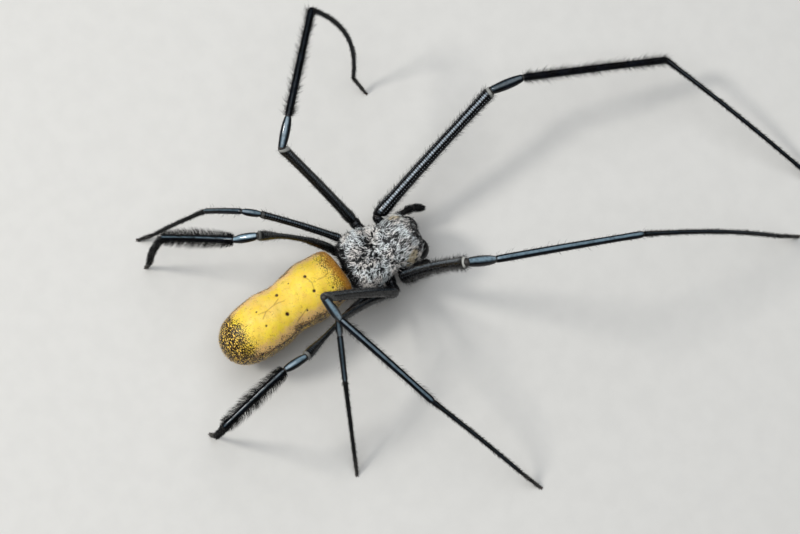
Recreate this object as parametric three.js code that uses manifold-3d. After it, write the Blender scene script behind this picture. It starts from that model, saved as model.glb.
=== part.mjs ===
// Golden silk orb weaver, an adult female standing on a level floor, life size.
// Millimetres, +Z up, the head looks toward -Y and the spider's left side is +X.
import * as THREE from "three";
import { mergeVertices } from "three/addons/utils/BufferGeometryUtils.js";
import Module from "manifold-3d";

const wasm = await Module();
wasm.setup();

// Driving dimensions
const jointGap = 0.3;
const floorLevel = 0;
const hipHeight = 5.9;
const carapaceMiddle = 6.85;
const headHeight = 9.75;
const sternumHeight = 3.9;
const abdomenStart = 5.8;
const abdomenAside = 0.6;
const abdomenYaw = 3.5;
const thoraxYaw = -6;
const eyeRadius = 0.22;

// How finely the surfaces are faceted, and the edge lengths below which corners are joined
const bodySides = 26;
const legSides = 8;
const weldDistance = 1e-4;
const finestEdge = 2e-3;

// The sizes of each pair of legs. The root is where the coxa leaves the body, as distance ahead of the
// body's middle, then sideways, then height. Lengths run femur, patella, tibia, metatarsus, tarsus.
const legPairs = {
  1: {
    root: [1.4, 1.7, 5.1],
    lengths: [21, 4.2, 19.6, 23.2, 4.2],
    radii: { coxa: 0.72, femur: 0.77, patella: 0.66, tibia: 0.5, metatarsus: 0.32, tarsus: 0.25 },
  },
  2: {
    root: [-0.5, 1.9, 5.1],
    lengths: [17.2, 3.8, 15, 16.8, 3.4],
    radii: { coxa: 0.72, femur: 0.68, patella: 0.6, tibia: 0.5, metatarsus: 0.32, tarsus: 0.25 },
  },
  3: {
    root: [-2.15, 1.7, 5.1],
    lengths: [12.2, 2.3, 6.4, 10.7, 2.7],
    radii: { coxa: 0.58, femur: 0.5, patella: 0.48, tibia: 0.42, metatarsus: 0.29, tarsus: 0.26 },
  },
  4: {
    root: [-3.6, 1.1, 5.1],
    lengths: [16.6, 3.0, 10, 12.2, 2.7],
    radii: { coxa: 0.66, femur: 0.6, patella: 0.58, tibia: 0.5, metatarsus: 0.32, tarsus: 0.26 },
  },
};

// The stance. The hip, where the femur starts, is a distance ahead and sideways. Each part of a leg has a
// turn away from straight ahead toward its own side, then a lift. The foot is the metatarsus with the
// tarsus: it has the turn of both and the lift of the tarsus, and the metatarsus drops by what is left to
// the floor. The bow is how far the femur, then the metatarsus, leave a straight line: dorsally, sideways.
const stance = {
  left: {
    1: {
      hip: [2.0, 4.3],
      femur: [13, 15],
      patella: [-14, 15],
      tibia: [-20, -16],
      foot: [-69, -14],
      bow: { femur: [0.5, 0], metatarsus: [0.6, 0] },
    },
    2: {
      hip: [-0.9, 5.5],
      femur: [116, 56],
      patella: [45, 17],
      tibia: [47, -10],
      foot: [-68, -57],
      bow: { femur: [0.3, 0], metatarsus: [0.8, -1.9] },
    },
    3: {
      hip: [-3.4, 4.3],
      femur: [141, 37.4],
      patella: [143, 16],
      tibia: [133, -39.5],
      foot: [153, -38],
      bow: { femur: [0.4, 0], metatarsus: [0.2, 0] },
    },
    4: {
      hip: [-5.0, 3.6],
      femur: [160.9, 57.6],
      patella: [151, -20.5],
      tibia: [138, -25],
      foot: [144, -76],
      bow: { femur: [0.5, 0.45], metatarsus: [0.3, 0] },
    },
  },
  right: {
    1: {
      hip: [0.6, 4.2],
      femur: [58, 68],
      patella: [17, -33],
      tibia: [18, -18],
      foot: [21, -40],
      bow: { femur: [0.5, 0], metatarsus: [1.2, 0] },
    },
    2: {
      hip: [-1.5, 5.1],
      femur: [-175, 57],
      patella: [80, -46],
      tibia: [72, -18],
      foot: [64, -37],
      bow: { femur: [0.4, 0], metatarsus: [0.4, 0] },
    },
    3: {
      hip: [-2.9, 4.7],
      femur: [167, 51],
      patella: [116, -53],
      tibia: [116, -44],
      foot: [115, -43],
      bow: { femur: [0.3, 0], metatarsus: [0.3, 0] },
    },
    4: {
      hip: [-4.6, 3.7],
      femur: [158, 41],
      patella: [177, 13],
      tibia: [172, -17],
      foot: [-110, -65],
      bow: { femur: [0.5, 0], metatarsus: [0.3, 0] },
    },
  },
};

// Solids
function solid(geometry, weld = weldDistance) {
  const bare = geometry.clone();
  bare.deleteAttribute("normal");
  bare.deleteAttribute("uv");
  const welded = mergeVertices(bare, weld);
  const triVerts = [];
  for (let i = 0; i < welded.index.count; i += 3) {
    const [a, b, c] = [0, 1, 2].map((k) => welded.index.getX(i + k));
    if (a !== b && b !== c && c !== a) triVerts.push(a, b, c);
  }
  const vertProperties = new Float32Array(welded.attributes.position.array);
  const mesh = new wasm.Mesh({ numProp: 3, vertProperties, triVerts: new Uint32Array(triVerts) });
  return new wasm.Manifold(mesh);
}

function surface(body) {
  const { vertProperties, triVerts } = body.getMesh();
  const geometry = new THREE.BufferGeometry();
  geometry.setAttribute("position", new THREE.BufferAttribute(new Float32Array(vertProperties), 3));
  geometry.setIndex(new THREE.BufferAttribute(new Uint32Array(triVerts), 1));
  return geometry;
}

// The largest closed surface of a body, with slivers finer than the finest edge closed up.
function largest(body) {
  const pieces = solid(surface(body), finestEdge).decompose();
  return pieces.sort((a, b) => b.volume() - a.volume())[0];
}

function unite(pieces) {
  return pieces.reduce((whole, piece) => whole.add(piece));
}

// Everything beyond a plane through the point, on the side its normal shows.
function beyond(point, normal) {
  const reach = 60;
  const box = new THREE.BoxGeometry(reach, reach, reach).translate(0, 0, reach / 2);
  box.applyQuaternion(new THREE.Quaternion().setFromUnitVectors(new THREE.Vector3(0, 0, 1), normal));
  return solid(box.translate(point.x, point.y, point.z));
}

// A point given as distance ahead, distance aside and height, on the left for side 1 and the right for -1.
function place([ahead, aside, height], side = 1) {
  return new THREE.Vector3(side * aside, -ahead, height);
}

// A point of the cephalothorax, which is turned a little away from the spider's own line.
function placeTurned(spot, side = 1) {
  return place(spot, side).applyAxisAngle(new THREE.Vector3(0, 0, 1), THREE.MathUtils.degToRad(thoraxYaw));
}

function heading([turn, lift], side) {
  const across = THREE.MathUtils.degToRad(turn);
  const above = THREE.MathUtils.degToRad(lift);
  return new THREE.Vector3(
    side * Math.sin(across) * Math.cos(above),
    -Math.cos(across) * Math.cos(above),
    Math.sin(above),
  );
}

// The dorsal and sideways directions of a limb that runs along the axis.
function across(axis) {
  const steep = 0.98;
  const upright = Math.abs(axis.z) > steep ? new THREE.Vector3(0, -1, 0) : new THREE.Vector3(0, 0, 1);
  const aside = axis.clone().cross(upright).normalize();
  return { aside, dorsal: aside.clone().cross(axis) };
}

// A round limb from one point to another with ball ends. Its outline lists [share of length, radius],
// and its bow is how far its middle leaves the straight line, dorsally and sideways.
function limb(from, to, outline, { bow = [0, 0], sides = legSides, grow = 0 } = {}) {
  const axis = to.clone().sub(from);
  const length = axis.length();
  axis.normalize();
  const longestStep = 0.2;
  const capShare = 0.7;
  const first = outline[0][1] + grow;
  const last = outline[outline.length - 1][1] + grow;
  const profile = [new THREE.Vector2(0, -first), new THREE.Vector2(first * capShare, -first * capShare)];
  outline.forEach(([share, radius], i) => {
    if (i > 0 && share - outline[i - 1][0] > longestStep) {
      const [shareBefore, radiusBefore] = outline[i - 1];
      const middle = (share + shareBefore) / 2;
      profile.push(new THREE.Vector2((radius + radiusBefore) / 2 + grow, middle * length));
    }
    profile.push(new THREE.Vector2(radius + grow, share * length));
  });
  profile.push(new THREE.Vector2(last * capShare, length + last * capShare));
  profile.push(new THREE.Vector2(0, length + last));
  const shape = new THREE.LatheGeometry(profile, sides);
  const { aside, dorsal } = across(axis);
  const spots = shape.attributes.position;
  for (let i = 0; i < spots.count; i++) {
    const along = spots.getY(i);
    const share = THREE.MathUtils.clamp(along / length, 0, 1);
    const swing = 4 * share * (1 - share);
    const point = from
      .clone()
      .addScaledVector(axis, along)
      .addScaledVector(aside, spots.getX(i) + bow[1] * swing)
      .addScaledVector(dorsal, spots.getZ(i) + bow[0] * swing);
    spots.setXYZ(i, point.x, point.y, point.z);
  }
  return solid(shape);
}

// A body lofted through stations of [ahead, half width, middle height, top, bottom]. The first and the last
// station lie on its axis. A section is rounder or squarer above and below by its two powers.
function loft(stations, rings, sides, [powerAbove, powerBelow], grow = 0) {
  const spline = (pick) => new THREE.CatmullRomCurve3(stations.map(pick), false, "catmullrom", 0.5);
  const widths = spline(([ahead, width, middle]) => new THREE.Vector3(ahead, width, middle));
  const heights = spline(([, , , top, bottom]) => new THREE.Vector3(top, bottom, 0));
  const profile = [];
  for (let i = 0; i <= rings; i++) profile.push(new THREE.Vector2(i === 0 || i === rings ? 0 : 1, i));
  const shape = new THREE.LatheGeometry(profile, sides);
  const spots = shape.attributes.position;
  for (let i = 0; i < spots.count; i++) {
    const ring = Math.round(spots.getY(i));
    const [ahead, width, middle] = widths.getPoint(ring / rings).toArray();
    const [top, bottom] = heights.getPoint(ring / rings).toArray();
    const pole = ring === 0 || ring === rings;
    const nearPole = ring === 1 || ring === rings - 1;
    const outward = ring * 2 < rings ? 1 : -1;
    const stretch = outward * grow * (pole ? 1 : nearPole ? 0.5 : 0);
    const angle = Math.atan2(spots.getZ(i), spots.getX(i));
    const [wide, high] = [Math.cos(angle), Math.sin(angle)];
    const power = high >= 0 ? powerAbove : powerBelow;
    const reach = pole ? 0 : Math.max(width, 0) + grow;
    const rise = pole ? 0 : (high >= 0 ? top - middle : middle - bottom) + grow;
    spots.setXYZ(
      i,
      reach * Math.sign(wide) * Math.abs(wide) ** power,
      -(ahead + stretch),
      middle + rise * Math.sign(high) * Math.abs(high) ** power,
    );
  }
  return shape;
}

function ball(centre, radius, sides = 8, rings = 5) {
  return solid(new THREE.SphereGeometry(radius, sides, rings).translate(centre.x, centre.y, centre.z));
}

// A tapered spike of few sides, its root in the point and its tip along the direction.
function spike(root, direction, radius, length, sides = 4) {
  const cone = new THREE.ConeGeometry(radius, length, sides).translate(0, length / 2, 0);
  cone.applyQuaternion(new THREE.Quaternion().setFromUnitVectors(new THREE.Vector3(0, 1, 0), direction));
  return solid(cone.translate(root.x, root.y, root.z));
}

// Numbers from 0 to 1 that come out the same each time for the same seed.
function seeded(seed) {
  let state = seed;
  return () => {
    state = (state * 1103515245 + 12345) % 2147483648;
    return state / 2147483648;
  };
}

// Cephalothorax: the domed carapace over the flat sternum, with the mouthparts under the head.
const carapaceStations = [
  [4.85, 0, 7.3, 7.3, 7.3],
  [4.72, 1.4, 7.25, 8.2, 6.75],
  [4.25, 2.35, 7.15, 9.0, 6.5],
  [3.2, 3.2, 7.0, 9.65, 6.3],
  [2.1, 3.3, 6.9, headHeight, 6.25],
  [0.6, 3.18, carapaceMiddle, 9.3, 6.3],
  [-0.6, 3.48, carapaceMiddle, 8.9, 6.45],
  [-2.2, 3.78, carapaceMiddle, 9.15, 6.5],
  [-3.5, 3.66, carapaceMiddle, 8.85, 6.5],
  [-4.6, 2.8, carapaceMiddle, 8.1, 6.5],
  [-4.95, 2.0, carapaceMiddle, 7.6, 6.55],
  [-5.05, 0, carapaceMiddle, carapaceMiddle, carapaceMiddle],
];
const sternumStations = [
  [2.5, 0, 5.6, 5.6, 5.6],
  [2.3, 1.2, 5.6, 7.1, 4.4],
  [1.2, 1.8, 5.5, 7.6, 4.0],
  [-0.6, 1.95, 5.5, 7.6, sternumHeight],
  [-2.4, 1.6, 5.5, 7.6, 4.0],
  [-3.9, 0.85, 5.6, 7.4, 4.3],
  [-4.35, 0, 5.8, 5.8, 5.8],
];
const headFloorStations = [
  [4.1, 0, 6.3, 6.3, 6.3],
  [3.9, 1.5, 6.2, 7.6, 5.6],
  [3.0, 2.1, 6.0, 8, 4.9],
  [1.9, 1.9, 5.8, 8, 4.3],
  [0.9, 0, 5.6, 5.6, 5.6],
];
const carapacePowers = [0.82, 0.75];

function thorax(grow) {
  const carapace = loft(carapaceStations, 18, bodySides, carapacePowers, grow);
  const sternum = loft(sternumStations, 9, 16, [0.7, 0.55], grow);
  const headFloor = loft(headFloorStations, 7, 14, [0.8, 0.7], grow);
  const turn = THREE.MathUtils.degToRad(thoraxYaw);
  return unite([carapace, sternum, headFloor].map((shape) => solid(shape.rotateZ(turn))));
}

// The eyes, in two rows of four, as [ahead, aside, height, share of the eye radius]. The outer two of
// each side share a low knob at the corner of the head.
const eyes = [
  [4.56, 0.4, 8.4, 1.1],
  [4.05, 0.58, 9.06, 1],
  [4.33, 2.1, 8.2, 0.9],
  [3.98, 2.36, 8.4, 0.9],
];
const eyeKnob = [3.9, 1.92, 8.08];
const eyeKnobRadius = 0.56;

// The two small horns behind the head and the pair of plates beside the mouth, with the lip between them
const horn = { root: [-1.2, 0.68, 8.8], radius: 0.3, length: 0.55 };
const mouthPlate = { root: [1.6, 1.0, 4.7], tip: [2.45, 0.62, 4.0], outline: [[0, 0.7], [1, 0.5]] };
const lip = { root: [1.7, 0, 4.4], tip: [2.6, 0, 4.1], outline: [[0, 0.5], [1, 0.42]] };

function cephalothorax() {
  const pieces = [thorax(0), limb(placeTurned(lip.root), placeTurned(lip.tip), lip.outline)];
  for (const side of [1, -1]) {
    pieces.push(ball(placeTurned(eyeKnob, side), eyeKnobRadius));
    for (const [ahead, aside, height, share] of eyes) {
      pieces.push(ball(placeTurned([ahead, aside, height], side), eyeRadius * share));
    }
    pieces.push(spike(placeTurned(horn.root, side), new THREE.Vector3(0, 0, 1), horn.radius, horn.length, 6));
    const [plateRoot, plateTip] = [mouthPlate.root, mouthPlate.tip].map((spot) => placeTurned(spot, side));
    pieces.push(limb(plateRoot, plateTip, mouthPlate.outline));
  }
  return largest(unite(pieces));
}

// Abdomen: a long barrel, broad and blunt in front, waisted in the middle and round behind.
const abdomenStations = [
  [0, 0, 8.0, 8.0, 8.0],
  [-0.08, 1.95, 8.0, 9.2, 6.9],
  [-0.4, 2.9, 7.9, 9.9, 6.1],
  [-1.2, 3.35, 7.7, 10.5, 5.2],
  [-2.8, 3.6, 7.4, 10.95, 4.4],
  [-4.6, 3.85, 7.2, 11.1, 3.8],
  [-6.4, 3.6, 7.1, 10.7, 3.6],
  [-8.3, 3.35, 7.0, 10.4, 3.55],
  [-10.2, 3.65, 7.0, 10.65, 3.4],
  [-12.0, 3.7, 7.0, 10.7, 3.4],
  [-14.2, 3.45, 6.9, 10.3, 3.65],
  [-15.8, 2.95, 6.9, 9.7, 4.2],
  [-16.9, 2.05, 6.9, 8.8, 5.1],
  [-17.45, 1.05, 6.9, 7.9, 5.9],
  [-17.6, 0, 6.9, 6.9, 6.9],
];
const abdomenPowers = [0.95, 0.95];

// The spinnerets under the rear end, as [ahead, aside, radius, length] with their roots at one height, and
// the low plate of the genital opening under the front
const spinnerets = [
  [-15.6, 0.42, 0.36, 1.2],
  [-16.3, 0.5, 0.34, 1.25],
  [-15.95, 0.16, 0.24, 0.95],
];
const spinneretRoot = 4.5;
const plate = { root: [-2.4, 0, 4.95], tip: [-3.4, 0, 4.55], outline: [[0, 0.55], [1, 0.5]] };

// Moves a shape made along the abdomen's own axis to its place behind the waist.
function settle(shape) {
  return shape.rotateZ(THREE.MathUtils.degToRad(abdomenYaw)).translate(abdomenAside, abdomenStart, 0);
}

function settlePoint(spot, side = 1) {
  const yaw = THREE.MathUtils.degToRad(abdomenYaw);
  const point = place(spot, side).applyAxisAngle(new THREE.Vector3(0, 0, 1), yaw);
  return point.add(new THREE.Vector3(abdomenAside, abdomenStart, 0));
}

function barrel(grow) {
  return solid(settle(loft(abdomenStations, 22, bodySides, abdomenPowers, grow)));
}

function abdomen() {
  const pieces = [barrel(0), limb(settlePoint(plate.root), settlePoint(plate.tip), plate.outline)];
  for (const side of [1, -1]) {
    for (const [ahead, aside, radius, length] of spinnerets) {
      const root = settlePoint([ahead, aside, spinneretRoot], side);
      const tip = settlePoint([ahead - length * 0.6, aside * 0.9, spinneretRoot - length * 0.8], side);
      pieces.push(limb(root, tip, [[0, radius], [0.6, radius * 0.95], [1, radius * 0.6]]));
    }
  }
  return largest(unite(pieces));
}

// Pedicel: the narrow waist between the two parts of the body.
function pedicel(wideThorax, wideAbdomen) {
  const outline = [[0, 0.62], [0.5, 0.55], [1, 0.62]];
  const waist = limb(placeTurned([-4.1, 0, 6.0]), place([-7.6, 0.4, 6.8]), outline);
  return largest(waist.subtract(wideThorax).subtract(wideAbdomen));
}

// Chelicerae: stout, hanging from the front of the head, with a folded fang under each.
function jaw(side, grow) {
  const outline = [[0, 1.14], [0.25, 1.42], [0.6, 1.34], [1, 0.95]];
  const [root, tip] = [placeTurned([3.5, 1.55, 7.2], side), placeTurned([4.3, 1.5, 3.6], side)];
  return limb(root, tip, outline, { bow: [0.25, 0], sides: 14, grow });
}

function chelicera(side, wideThorax) {
  const cleft = beyond(placeTurned([0, jointGap / 2, 0], side), placeTurned([0, -1, 0], side));
  const knob = ball(placeTurned(eyeKnob, side), eyeKnobRadius + jointGap, 12, 8);
  return largest(jaw(side, 0).subtract(cleft).subtract(wideThorax).subtract(knob));
}

function fang(side) {
  const outline = [[0, 0.36], [0.5, 0.28], [1, 0.09]];
  const [root, tip] = [placeTurned([4.6, 2.0, 2.9], side), placeTurned([3.35, 0.5, 2.0], side)];
  const made = limb(root, tip, outline, { bow: [-0.3, 0] });
  return largest(made.subtract(jaw(side, jointGap)));
}

// Palps: short feelers beside the mouth, the left reaching forward and the right folded down.
const palpJoints = {
  left: [[2.7, 2.0, 4.4], [3.65, 3.6, 4.3], [4.85, 3.73, 4.8], [6.05, 3.7, 4.8], [7.45, 3.55, 3.1]],
  right: [[2.7, 2.0, 4.4], [3.6, 3.1, 4.0], [4.2, 3.15, 3.4], [4.6, 2.95, 2.6], [4.7, 2.5, 1.0]],
};
const palpRadii = [0.36, 0.4, 0.38, 0.34];

function palp(sideName, side, wideThorax) {
  const joints = palpJoints[sideName].map((joint) => placeTurned(joint, side));
  const pieces = palpRadii.map((radius, i) => {
    const end = i === palpRadii.length - 1 ? 0.14 : radius * 0.85;
    const outline = [[0, radius * 0.85], [0.5, radius], [1, end]];
    return limb(joints[i], joints[i + 1], outline, { bow: [0.05, 0] });
  });
  return largest(unite(pieces).subtract(wideThorax).subtract(jaw(side, jointGap)));
}

// Legs: each part is a limb between two joints, cut square to the bend so neighbours stand a small gap apart.
// The outlines list [share of length, share of the part's radius].
const partNames = ["coxa", "femur", "patella", "tibia", "metatarsus", "tarsus"];
const outlines = {
  coxa: [[0, 0.9], [0.55, 1], [0.72, 0.86], [0.85, 1], [1, 0.98]],
  femur: [[0, 0.92], [0.06, 1.08], [0.18, 1], [0.45, 0.96], [0.7, 0.92], [0.93, 0.94], [1, 0.86]],
  spindle: [[0, 0.9], [0.07, 1], [0.3, 0.84], [0.45, 0.6], [0.72, 0.6], [0.84, 0.86], [0.94, 1.06], [1, 0.9]],
  patella: [[0, 0.86], [0.4, 1], [0.8, 0.9], [1, 0.78]],
  tibia: [[0, 0.9], [0.12, 1], [0.45, 0.98], [0.8, 0.9], [1, 0.82]],
  metatarsus: [[0, 1.15], [0.07, 1], [0.3, 0.95], [0.55, 0.9], [0.8, 0.85], [1, 0.8]],
  tarsus: [[0, 0.95], [0.5, 0.92], [1, 0.62]],
};
const tibiaBow = [0.15, 0];
const soleShare = 0.36;

// The brush of the last legs: rings of tapered tufts that lean toward the foot, longest in the middle.
const brush = { rings: 11, around: 6, start: 0.1, end: 0.97, lean: 46 };
const tuft = { radius: 0.22, sunk: 0.22, shortest: 0.75, longest: 1.35 };
const claw = { radius: 0.075, length: 0.42, spread: 24, dip: 38 };

function legJoints(pair, sideName, side) {
  const { root, lengths, radii } = legPairs[pair];
  const { hip, femur, patella, tibia, foot } = stance[sideName][pair];
  const joints = [placeTurned(root, side), place([...hip, hipHeight], side)];
  [femur, patella, tibia].forEach((way, i) => {
    joints.push(joints[joints.length - 1].clone().addScaledVector(heading(way, side), lengths[i]));
  });
  const ankle = joints[joints.length - 1];
  const tarsus = heading(foot, side).multiplyScalar(lengths[4]);
  const drop = floorLevel + radii.tarsus * soleShare - ankle.z - tarsus.z;
  const footLift = THREE.MathUtils.radToDeg(Math.asin(drop / lengths[3]));
  const heel = ankle.clone().addScaledVector(heading([foot[0], footLift], side), lengths[3]);
  joints.push(heel, heel.clone().add(tarsus));
  return joints;
}

function tufts(from, to, radius, random) {
  const axis = to.clone().sub(from).normalize();
  const { dorsal } = across(axis);
  const made = [];
  for (let ring = 0; ring < brush.rings; ring++) {
    const share = THREE.MathUtils.lerp(brush.start, brush.end, ring / (brush.rings - 1));
    for (let k = 0; k < brush.around; k++) {
      const angle = ((k + (ring % 2) / 2 + random() * 0.3) / brush.around) * 2 * Math.PI;
      const outward = dorsal.clone().applyAxisAngle(axis, angle);
      const lean = THREE.MathUtils.degToRad(brush.lean + random() * 8);
      const way = axis.clone().multiplyScalar(Math.cos(lean)).addScaledVector(outward, Math.sin(lean));
      const length = THREE.MathUtils.lerp(tuft.shortest, tuft.longest, Math.sqrt(Math.sin(Math.PI * share)));
      const root = from.clone().lerp(to, share).addScaledVector(outward, radius - tuft.sunk);
      root.addScaledVector(dorsal, tibiaBow[0] * 4 * share * (1 - share));
      made.push(spike(root, way, tuft.radius, length * (0.9 + random() * 0.2) + tuft.sunk));
    }
  }
  return made;
}

function claws(heel, tip, radius) {
  const forward = tip.clone().sub(heel).setZ(0).normalize();
  const dip = THREE.MathUtils.degToRad(claw.dip);
  return [1, -1].map((sign) => {
    const spread = THREE.MathUtils.degToRad(sign * claw.spread);
    const way = forward.clone().applyAxisAngle(new THREE.Vector3(0, 0, 1), spread);
    way.multiplyScalar(Math.cos(dip)).setZ(-Math.sin(dip));
    return spike(tip.clone().setZ(tip.z + radius * 0.5), way, claw.radius, claw.length);
  });
}

function legParts(pair, sideName, side, wideThorax) {
  const joints = legJoints(pair, sideName, side);
  const { radii } = legPairs[pair];
  const { bow } = stance[sideName][pair];
  const bows = { ...bow, tibia: tibiaBow };
  const ways = partNames.map((_, i) => joints[i + 1].clone().sub(joints[i]).normalize());
  const squares = ways.slice(1).map((way, i) => way.clone().add(ways[i]).normalize());
  const half = jointGap / 2;
  const down = new THREE.Vector3(0, 0, -1);
  return partNames.map((name, i) => {
    const shares = outlines[name === "femur" && pair === 4 ? "spindle" : name];
    const outline = shares.map(([share, width]) => [share, width * radii[name]]);
    const [start, end] = [joints[i], joints[i + 1]];
    const pieces = [limb(start, end, outline, { bow: bows[name] })];
    if (name === "tibia" && pair === 4) pieces.push(...tufts(start, end, radii.tibia, seeded(41 + side)));
    if (name === "tarsus") pieces.push(...claws(start, end, radii.tarsus));
    let made = unite(pieces);
    if (name === "coxa") made = made.subtract(wideThorax);
    else {
      const square = squares[i - 1];
      made = made.subtract(beyond(start.clone().addScaledVector(square, half), square.clone().negate()));
    }
    if (name === "tarsus") made = made.subtract(beyond(end.clone().setZ(floorLevel), down));
    else made = made.subtract(beyond(end.clone().addScaledVector(squares[i], -half), squares[i]));
    return { name, body: largest(made), start };
  });
}

// Colours of the sub-parts
const finishes = {
  carapace: { color: "#4d4b47", roughness: 0.55, metalness: 0 },
  abdomen: { color: "#c9962e", roughness: 0.4, metalness: 0 },
  legs: { color: "#151413", roughness: 0.3, metalness: 0 },
  jaws: { color: "#0d0b0b", roughness: 0.2, metalness: 0 },
};

// Adds a body as a named mesh whose own origin is the given start point, inside a group at the group's place.
function addPart(group, name, body, finish, start) {
  const geometry = surface(body).translate(-start.x, -start.y, -start.z);
  geometry.computeVertexNormals();
  const mesh = new THREE.Mesh(geometry, new THREE.MeshStandardMaterial(finishes[finish]));
  mesh.name = name;
  mesh.position.copy(start).sub(group.position);
  group.add(mesh);
}

const spider = new THREE.Group();
const wideThorax = thorax(jointGap);
const bodyMiddle = place([0, 0, carapaceMiddle]);
addPart(spider, "cephalothorax", cephalothorax(), "carapace", bodyMiddle);
addPart(spider, "abdomen", abdomen(), "abdomen", settlePoint([0, 0, carapaceMiddle]));
addPart(spider, "pedicel", pedicel(wideThorax, barrel(jointGap)), "legs", bodyMiddle);
for (const [sideName, side] of [["left", 1], ["right", -1]]) {
  addPart(spider, `chelicera_${sideName}`, chelicera(side, wideThorax), "jaws", bodyMiddle);
  addPart(spider, `fang_${sideName}`, fang(side), "jaws", bodyMiddle);
  addPart(spider, `palp_${sideName}`, palp(sideName, side, wideThorax), "legs", bodyMiddle);
  for (const pair of Object.keys(legPairs).map(Number)) {
    const parts = legParts(pair, sideName, side, wideThorax);
    const leg = new THREE.Group();
    leg.position.copy(parts[0].start);
    spider.add(leg);
    for (const { name, body, start } of parts) {
      addPart(leg, `leg_${sideName}_${pair}_${name}`, body, "legs", start);
    }
  }
}

// The origin sits on the floor under the middle of the whole model.
const extent = new THREE.Box3().setFromObject(spider);
const centre = extent.getCenter(new THREE.Vector3());
spider.position.set(-centre.x, -centre.y, -extent.min.z);

const model = new THREE.Group();
model.add(spider);

export default model;
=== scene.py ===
# Golden silk orb weaver, an adult female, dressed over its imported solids.
# Lengths are millimetres in the spider's own axes: distance ahead, distance aside, height above the floor.
import math

import bpy
import numpy as np
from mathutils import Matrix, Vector


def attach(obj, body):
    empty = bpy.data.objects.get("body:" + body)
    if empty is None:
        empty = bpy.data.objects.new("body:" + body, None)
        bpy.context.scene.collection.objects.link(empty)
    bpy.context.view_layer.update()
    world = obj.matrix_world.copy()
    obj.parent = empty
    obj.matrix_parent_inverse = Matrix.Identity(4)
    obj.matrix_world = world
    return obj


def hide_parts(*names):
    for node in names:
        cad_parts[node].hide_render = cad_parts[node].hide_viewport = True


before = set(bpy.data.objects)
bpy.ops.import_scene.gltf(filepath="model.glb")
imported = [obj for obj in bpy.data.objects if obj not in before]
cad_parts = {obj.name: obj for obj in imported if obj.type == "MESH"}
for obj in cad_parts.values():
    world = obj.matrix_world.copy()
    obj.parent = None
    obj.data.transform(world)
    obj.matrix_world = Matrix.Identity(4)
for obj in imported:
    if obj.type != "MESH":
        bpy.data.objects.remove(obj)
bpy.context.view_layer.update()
mm = 0.001
hairShare = 1

# The body's middle in the frame, and how far the cephalothorax is turned about it, in degrees
bodyMiddle = np.array([3.445, 11.579, 0])
thoraxYaw = -6
sideSigns = {"left": 1, "right": -1}
backward = np.array([0, 1.0, 0])


# Directions, curves and surfaces
# Vectors of length 1
def unit(vectors):
    return vectors / np.maximum(np.linalg.norm(vectors, axis=-1, keepdims=True), 1e-12)


# A spot from the body's middle, as [ahead, aside, height], in the frame
def place(spot, side=1):
    ahead, aside, height = spot
    return bodyMiddle + np.array([side * aside, -ahead, height])


# Turns points about the upright line through the origin
def turned(points, degrees):
    turn = math.radians(degrees)
    along, across = math.cos(turn), math.sin(turn)
    x, y, z = np.moveaxis(np.asarray(points, float), -1, 0)
    return np.stack([x * along - y * across, x * across + y * along, z], -1)


# A place on the turned cephalothorax
def placeTurned(spot, side=1):
    return bodyMiddle + turned(place(spot, side) - bodyMiddle, thoraxYaw)


# Distance aside, ahead and up in the cephalothorax's own axes
def thoraxPlan(points):
    return turned(points - bodyMiddle, -thoraxYaw) * [1, -1, 1]


# The direction of a way, as [turn from straight ahead to its own side, lift] in degrees
def heading(way, side=1):
    turn, lift = np.radians(way)
    level = math.cos(lift)
    return np.array([side * math.sin(turn) * level, -math.cos(turn) * level, math.sin(lift)])


# The two directions across an axis, sideways and upward
def crossWays(axis):
    upright = np.array([0, -1.0, 0]) if abs(axis[2]) > 0.98 else np.array([0, 0, 1.0])
    aside = unit(np.cross(axis, upright))
    return aside, np.cross(aside, axis)


# A soft step from 0 at low to 1 at high
def smoothStep(values, low, high):
    share = np.clip((values - low) / (high - low), 0, 1)
    return share * share * (3 - 2 * share)


# 1 in the middle, falling off softly to either side
def bell(values, width):
    return np.exp(-((values / width) ** 2))


# A smooth curve through the points, at shares from 0 to 1 of their number
def curveThrough(points, shares):
    points = np.asarray(points, float)
    padded = np.vstack([2 * points[0] - points[1], points, 2 * points[-1] - points[-2]])
    reach = np.clip(shares, 0, 1) * (len(points) - 1)
    index = np.minimum(reach.astype(int), len(points) - 2)
    rest = (reach - index)[..., None]
    before, here, after, beyond = (padded[index + k] for k in range(4))
    bend = 2 * before - 5 * here + 4 * after - beyond
    twist = 3 * here - before - 3 * after + beyond
    return 0.5 * (2 * here + (after - before) * rest + bend * rest**2 + twist * rest**3)


# How far each point is from a line that runs through the corners, seen from above
def distanceToLine(points, corners):
    nearest = np.full(len(points), 1e9)
    for start, end in zip(corners[:-1], corners[1:]):
        start, end = np.array(start, float), np.array(end, float)
        way = end - start
        share = np.clip((points - start) @ way / (way @ way), 0, 1)
        nearest = np.minimum(nearest, np.linalg.norm(points - start - share[:, None] * way, axis=1))
    return nearest


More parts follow.
